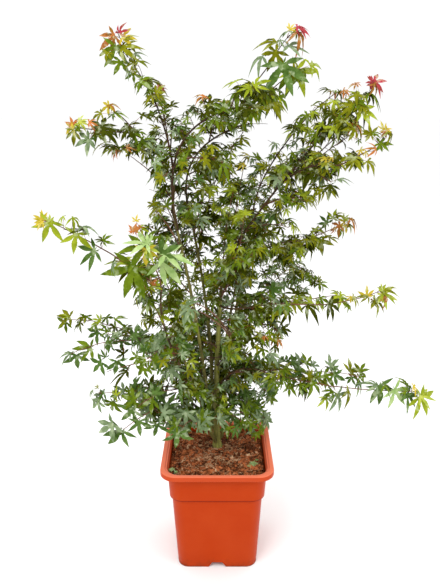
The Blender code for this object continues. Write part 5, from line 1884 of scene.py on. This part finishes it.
# --- the pot ---
@dataclass
class Pot:
    """Square tapered nursery pot: body, collar, turned-down lip and a drain notch a side."""

    height: float = 0.2706
    wall: float = 0.0016
    lip_half: float = 0.130
    lip_depth: float = 0.012
    lip_flange: float = 0.0026
    lip_inner_half: float = 0.1205
    collar_top_half: float = 0.1145
    collar_foot_half: float = 0.1105
    collar_foot: float = 0.1935
    step_rise: float = 0.002
    body_top_half: float = 0.1055
    base_half: float = 0.0945
    edge: float = 0.0025
    corner_share: float = 0.28
    corner_steps: int = 14
    notch_foot: float = 0.043
    notch_top: float = 0.024
    notch_height: float = 0.014
    notch_reach: float = 0.055
    notch_below: float = 0.010
    fillet: float = 0.0016
    fillet_most: float = 0.45
    fillet_steps: int = 4
    base_ring: float = 0.020
    lip_slope: float = 0.0004
    hump_foot: float = 0.0005
    sharp: float = 35.0

    def ring(self, half: float, height: float) -> np.ndarray:
        """Ring of a square with rounded corners.

        Args:
            half: half of its width.
            height: its height.

        Returns:
            The points.
        """
        corner = half * self.corner_share
        made = []
        for quarter in range(4):
            middle = math.radians(45 + 90 * quarter)
            offset = (half - corner) * math.sqrt(2)
            for step in range(self.corner_steps + 1):
                turn = math.radians(90 * (quarter + step / self.corner_steps))
                made.append((offset * math.cos(middle) + corner * math.cos(turn),
                             offset * math.sin(middle) + corner * math.sin(turn), height))
        return np.array(made)

    def inside_at(self, height: float) -> float:
        """Half width of the collar's inner face.

        Args:
            height: the height there.

        Returns:
            The half width.
        """
        share = (height - self.collar_foot) / (self.height - self.lip_depth - self.collar_foot)
        reach = self.collar_top_half - self.collar_foot_half
        return self.collar_foot_half + reach * share - self.wall

    def rounded(self, corners: Sequence[Span]) -> list[Span]:
        """Round the corners of a profile.

        Args:
            corners: half width and height of each corner.

        Returns:
            The rounded profile.
        """
        made = [corners[0]]
        for before, corner, after in zip(corners, corners[1:], corners[2:]):
            here = np.array(corner)
            ends = []
            for other in (before, after):
                away = np.array(other) - here
                reach = min(self.fillet, float(np.linalg.norm(away)) * self.fillet_most)
                ends.append(here + away / np.linalg.norm(away) * reach)
            for step in range(self.fillet_steps + 1):
                t = step / self.fillet_steps
                point = ends[0] * (1 - t) ** 2 + here * 2 * t * (1 - t) + ends[1] * t ** 2
                made.append((float(point[0]), float(point[1])))
        made.append(corners[-1])
        return made

    def notch(self, name: str, turn: float, swell: float) -> bpy.types.Object:
        """A drain notch as a solid with sloping sides.

        Args:
            name: the object's name.
            turn: which side of the pot it is in, in radians.
            swell: how much larger it is all round.

        Returns:
            The object.
        """
        foot, top = self.notch_foot / 2 + swell, self.notch_top / 2 + swell
        low, high = -self.notch_below, self.notch_height + swell
        grow = (foot - top) / high * self.notch_below
        section = ((-foot - grow, low), (foot + grow, low), (top, high), (-top, high))
        place = Matrix.Rotation(turn, 3, "Z")
        ends = (self.lip_half, self.base_half - self.notch_reach - swell)
        rings = [np.array([place @ Vector((x, -y, z)) for x, z in section]) for y in ends]
        points, faces = loft(rings)
        mesh = bpy.data.meshes.new(name)
        mesh.from_pydata(points.tolist(), [], [f for block in faces for f in block.tolist()])
        turn_out(mesh)
        item = bpy.data.objects.new(name, mesh)
        bpy.context.scene.collection.objects.link(item)
        return item

    def build(self) -> None:
        """Make the pot and seat it."""
        lip_foot = self.height - self.lip_depth
        flange = self.height - self.lip_flange
        floor = self.wall
        corners = [
            (self.base_half - self.base_ring, 0.0), (self.base_half, 0.0),
            (self.body_top_half, self.collar_foot - self.step_rise),
            (self.collar_foot_half, self.collar_foot),
            (self.collar_top_half, lip_foot), (self.collar_top_half + self.edge / 2, flange),
            (self.lip_half - self.wall - 2 * self.lip_slope, flange),
            (self.lip_half - self.wall - self.lip_slope, lip_foot), (self.lip_half, lip_foot),
            (self.lip_half, self.height), (self.lip_inner_half, self.height),
            (self.inside_at(lip_foot), lip_foot),
            (self.collar_foot_half - self.wall, self.collar_foot),
            (self.body_top_half - self.wall, self.collar_foot - self.step_rise),
            (self.base_half - self.wall, floor), (self.base_half - self.base_ring, floor),
        ]
        rings = [self.ring(half, height) for half, height in self.rounded(corners)]
        bin_ = Bin()
        bin_.add(*loft(rings))
        item = bin_.build("pot_shell", PlasticFinish().material(), self.sharp)
        turn_out(item.data)
        for quarter in range(4):
            turn = math.pi / 2 * quarter
            hump = self.notch("hump", turn, self.wall)
            trim = Bin()
            half = self.base_half - self.wall / 2
            ends = (self.hump_foot, self.notch_height * 2)
            trim.add(*loft([self.ring(half, height) for height in ends]))
            trimmer = trim.build("trim", item.data.materials[0])
            turn_out(trimmer.data)
            cut(hump, "INTERSECT", trimmer)
            cut(item, "UNION", hump)
        for quarter in range(4):
            cut(item, "DIFFERENCE", self.notch("notch", math.pi / 2 * quarter, 0.0))
        item.data.polygons.foreach_set("use_smooth", np.ones(len(item.data.polygons), bool))
        item.data.polygons.foreach_set("material_index", np.zeros(len(item.data.polygons), np.int32))
        item.data.set_sharp_from_angle(angle=math.radians(self.sharp))
        seat(item, "terracotta plastic", "pot")


def turn_out(mesh: bpy.types.Mesh) -> None:
    """Turn a closed mesh's faces outward.

    Args:
        mesh: the mesh.
    """
    work = bmesh.new()
    work.from_mesh(mesh)
    bmesh.ops.recalc_face_normals(work, faces=work.faces)
    work.to_mesh(mesh)
    work.free()


def cut(item: bpy.types.Object, operation: str, other: bpy.types.Object) -> None:
    """Cut or join another object and remove it.

    Args:
        item: the object that is changed.
        operation: the Boolean modifier's operation.
        other: the object that is used up.
    """
    change = item.modifiers.new(operation.lower(), "BOOLEAN")
    change.operation = operation
    change.solver = "EXACT"
    change.object = other
    evaluated = item.evaluated_get(bpy.context.evaluated_depsgraph_get())
    result = bpy.data.meshes.new_from_object(evaluated)
    item.modifiers.clear()
    item.data = result
    bpy.data.objects.remove(other)


# --- the compost ---
@dataclass
class Compost:
    """Bark and coir compost: an uneven surface, bark chips and pale coir fibres on it."""

    pot: Pot
    rows: int = 62
    edge_drop: float = 0.0040
    clump: float = 0.0052
    crumb: float = 0.0020
    depth: float = 0.040
    pad: float = 0.006
    grit: float = 0.6
    textures: tuple[Span, ...] = ((34.0, 1.7), (130.0, 4.1), (330.0, 7.3))
    calm_from: float = 0.008
    calm_over: float = 0.030
    mound: float = 0.0030
    mound_reach: float = 0.020
    rim_step: float = 0.0035
    foot_share: float = 0.985
    skirt: float = 0.004
    fall_from: float = 0.93
    fall_over: float = 0.07
    chips: int = 2600
    chip_room: float = 0.006
    trunk_room: float = 0.016
    reds: tuple[int, int] = (3, 5)
    pale_every: int = 23
    chip_sizes: tuple[float, ...] = (0.0013, 0.0019, 0.0026, 0.0036, 0.0050)
    chip_shape: tuple[Span, ...] = ((0.7, 1.3), (0.35, 0.8), (0.2, 0.5))
    chip_corners: Span = (-0.35, 0.2)
    chip_tilts: Span = (0.5, 0.4)
    chip_lift: Span = (-0.05, 0.30)
    fibres: int = 1500
    fibre_room: float = 0.014
    fibre_middle: float = 0.55
    fibre_bend: float = 60.0
    fibre_lengths: Span = (0.005, 0.018)
    fibre_lift: Span = (0.0004, 0.0016)
    fibre_stray: float = 0.15
    fibre_radii: Span = (0.00018, 0.00052)
    fibre_steps: int = 6
    sharp: float = 40.0
    dice: random.Random = field(default_factory=lambda: random.Random(COMPOST_SEED))

    def height_at(self, x: float, y: float) -> float:
        """Height of the surface.

        Args:
            x: the place across the pot.
            y: the place from front to back.

        Returns:
            The height over the ground.
        """
        wide, fine, finer = (noise.noise(Vector((x * scale, y * scale, layer)))
                             for scale, layer in self.textures)
        uneven = wide * self.clump + fine * self.crumb + finer * self.crumb * self.grit
        near = math.hypot(x - FOOT.x, y - FOOT.y)
        calm = min(1.0, max(0.0, (near - self.calm_from) / self.calm_over))
        mound = self.mound * math.exp(-(near / self.mound_reach) ** 2)
        return SOIL_TOP + uneven * calm + mound

    def build(self) -> None:
        """Make the surface, the chips and the fibres, and seat them."""
        edge = SOIL_TOP - self.edge_drop
        half = self.pot.inside_at(edge) - GAP
        rim = self.pot.ring(half, edge)
        dense = []
        for a, b in zip(rim, np.roll(rim, -1, axis=0)):
            parts = max(1, round(float(np.linalg.norm(b - a)) / self.rim_step))
            dense += [a + (b - a) * k / parts for k in range(parts)]
        outer = np.array(dense)
        foot = np.array((FOOT.x, FOOT.y, SOIL_TOP))
        rings = [outer * (self.foot_share, self.foot_share, 1.0) - (0.0, 0.0, self.depth),
                 outer - (0.0, 0.0, self.skirt)]
        for row in range(self.rows):
            share = 1.0 - row / (self.rows - 1)
            away = outer - foot
            spread = self.pad / np.linalg.norm(away[:, :2], axis=1)
            factor = spread + (1.0 - spread) * share
            ring = foot + away * factor[:, None]
            ring[:, 2] = [self.height_at(x, y) for x, y in ring[:, :2]]
            fall = np.clip((share - self.fall_from) / self.fall_over, 0.0, 1.0)
            ring[:, 2] = ring[:, 2] * (1 - fall) + edge * fall
            rings.append(ring)
        bin_ = Bin()
        bin_.add(*loft(rings))
        dark = CompostFinish("compost_body", (0.030, 0.007, 0.001), (0.300, 0.082, 0.020),
                             (0.46, 0.200, 0.090))
        seat(bin_.build("compost_surface", dark.material()), "compost", "soil")
        self.strew(half)

    def strew(self, half: float) -> None:
        """Strew chips and fibres over the surface.

        Args:
            half: half of the surface's width.
        """
        red = CompostFinish("bark_chip_red", (0.110, 0.026, 0.006), (0.520, 0.160, 0.055),
                            (0.58, 0.26, 0.13), 0.80)
        brown = CompostFinish("bark_chip_dark", (0.028, 0.007, 0.001), (0.180, 0.054, 0.016),
                              (0.30, 0.12, 0.055), 0.82)
        tan = CompostFinish("coir_fibre", (0.460, 0.250, 0.120), (0.720, 0.450, 0.260),
                            (0.86, 0.62, 0.42), 0.85)
        kinds = {"compost_chips_red": (Bin(), red), "compost_chips_dark": (Bin(), brown),
                 "compost_fibres": (Bin(), tan)}
        for number in range(self.chips):
            x, y = self.spot(half - self.chip_room)
            red_share, of_all = self.reds
            kind = "compost_chips_red" if number % of_all < red_share else "compost_chips_dark"
            if number % self.pale_every == 0:
                kind = "compost_fibres"
            kinds[kind][0].add(*self.chip(x, y))
        for number in range(self.fibres):
            x, y = self.spot((half - self.fibre_room) * (self.fibre_middle if number % 2 else 1.0))
            kinds["compost_fibres"][0].add(*self.fibre(x, y))
        for name, (bin_, finish) in kinds.items():
            seat(bin_.build(name, finish.material(), self.sharp), "compost")

    def spot(self, half: float) -> Span:
        """A place on the surface clear of the trunk.

        Args:
            half: half of the width to choose from.

        Returns:
            The place.
        """
        while True:
            x, y = (self.dice.uniform(-half, half) for _ in range(2))
            corner = half * self.pot.corner_share
            past = [max(0.0, abs(v) - (half - corner)) for v in (x, y)]
            if math.hypot(*past) < corner and math.hypot(x - FOOT.x, y - FOOT.y) > self.trunk_room:
                return x, y

    def chip(self, x: float, y: float) -> tuple[np.ndarray, Faces]:
        """One angular chip of bark, partly sunk.

        Args:
            x: its place across the pot.
            y: its place from front to back.

        Returns:
            Points and faces.
        """
        dice = self.dice
        size = dice.choice(self.chip_sizes)
        sizes = np.array([size * dice.uniform(*span) for span in self.chip_shape])
        box = np.array([(a, b, c) for a in (-1, 1) for b in (-1, 1) for c in (-1, 1)], float)
        box *= 1 + np.array([[dice.uniform(*self.chip_corners) for _ in range(3)] for _ in range(8)])
        spin = Matrix.Rotation(dice.uniform(0, 2 * math.pi), 3, "Z")
        tilt, roll = (Matrix.Rotation(dice.gauss(0, most), 3, axis)
                      for most, axis in zip(self.chip_tilts, "XY"))
        turned = np.array(spin @ (tilt @ roll))
        lift = self.height_at(x, y) + size * dice.uniform(*self.chip_lift)
        quads = np.array([(0, 1, 3, 2), (4, 6, 7, 5), (0, 4, 5, 1), (2, 3, 7, 6),
                          (0, 2, 6, 4), (1, 5, 7, 3)])
        return (box * sizes) @ turned.T + np.array((x, y, lift)), [quads]

    def fibre(self, x: float, y: float) -> tuple[np.ndarray, Faces]:
        """One curved coir fibre that lies on the surface.

        Args:
            x: its place across the pot.
            y: its place from front to back.

        Returns:
            Points and faces.
        """
        dice = self.dice
        turn = dice.uniform(0, 2 * math.pi)
        bend = dice.uniform(-self.fibre_bend, self.fibre_bend)
        length = dice.uniform(*self.fibre_lengths)
        points = []
        steps = self.fibre_steps
        for step in range(steps + 1):
            points.append((x, y, self.height_at(x, y) + dice.uniform(*self.fibre_lift)))
            x += math.cos(turn) * length / steps
            y += math.sin(turn) * length / steps
            turn += math.radians(bend) / steps + dice.uniform(-self.fibre_stray, self.fibre_stray)
        thick = dice.uniform(*self.fibre_radii)
        return Spine(np.array(points), np.full(steps + 1, thick)).tube(3)


# --- the studio ---
@dataclass
class Studio:
    """Pale floor, soft light and the camera."""

    film: float = 24.0
    floor_half: float = 60.0
    sky: float = 1.04
    lit: Triple = (0.0, 0.0, 0.6)

    def build(self) -> None:
        """Make the floor, the lights and the camera."""
        bin_ = Bin()
        half = self.floor_half
        bin_.add(np.array([(-half, -half, 0), (half, -half, 0), (half, half, 0), (-half, half, 0)]),
                 [np.array([(0, 1, 2, 3)])])
        bin_.build("floor", BackdropFinish().material())
        world = bpy.data.worlds.new("studio")
        world.use_nodes = True
        sky = world.node_tree.nodes["Background"]
        sky.inputs["Color"].default_value = (1.0, 1.0, 1.0, 1.0)
        sky.inputs["Strength"].default_value = self.sky
        bpy.context.scene.world = world
        bpy.context.scene.view_settings.view_transform = "Standard"
        self.lamp("key", where=(-1.1, -1.9, 2.7), size=1.5, power=42.0)
        self.lamp("fill", where=(1.9, -1.2, 1.7), size=1.6, power=14.0)
        self.lamp("top", where=(0.2, 0.5, 3.2), size=1.8, power=22.0)
        self.camera()

    def lamp(self, name: str, where: Sequence[float], size: float, power: float) -> None:
        """Hang one soft square lamp.

        Args:
            name: its name.
            where: its place.
            size: its width.
            power: its power in watts.
        """
        data = bpy.data.lights.new(name, "AREA")
        data.size = size
        data.energy = power
        item = bpy.data.objects.new(name, data)
        bpy.context.scene.collection.objects.link(item)
        item.location = where
        way = Vector(self.lit) - Vector(where)
        item.rotation_euler = way.to_track_quat("-Z", "Y").to_euler()

    def camera(self) -> None:
        """Set up the camera."""
        data = bpy.data.cameras.new("camera")
        data.sensor_fit = "VERTICAL"
        data.sensor_height = self.film
        data.lens = FOCAL * self.film / FRAME[1]
        item = bpy.data.objects.new("camera", data)
        bpy.context.scene.collection.objects.link(item)
        item.location = EYE
        item.rotation_euler = (math.radians(90.0 - PITCH), 0.0, 0.0)
        bpy.context.scene.camera = item


def main() -> None:
    """Build every sub-assembly in order."""
    logging.basicConfig(level=logging.INFO, format="%(name)s: %(message)s")
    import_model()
    pot = Pot()
    pot.build()
    Compost(pot).build()
    framework = Framework()
    framework.lay()
    framework.build()
    canopy = Canopy(framework)
    canopy.grow()
    canopy.build()
    Studio().build()
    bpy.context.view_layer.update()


if __name__ == "__main__":
    main()
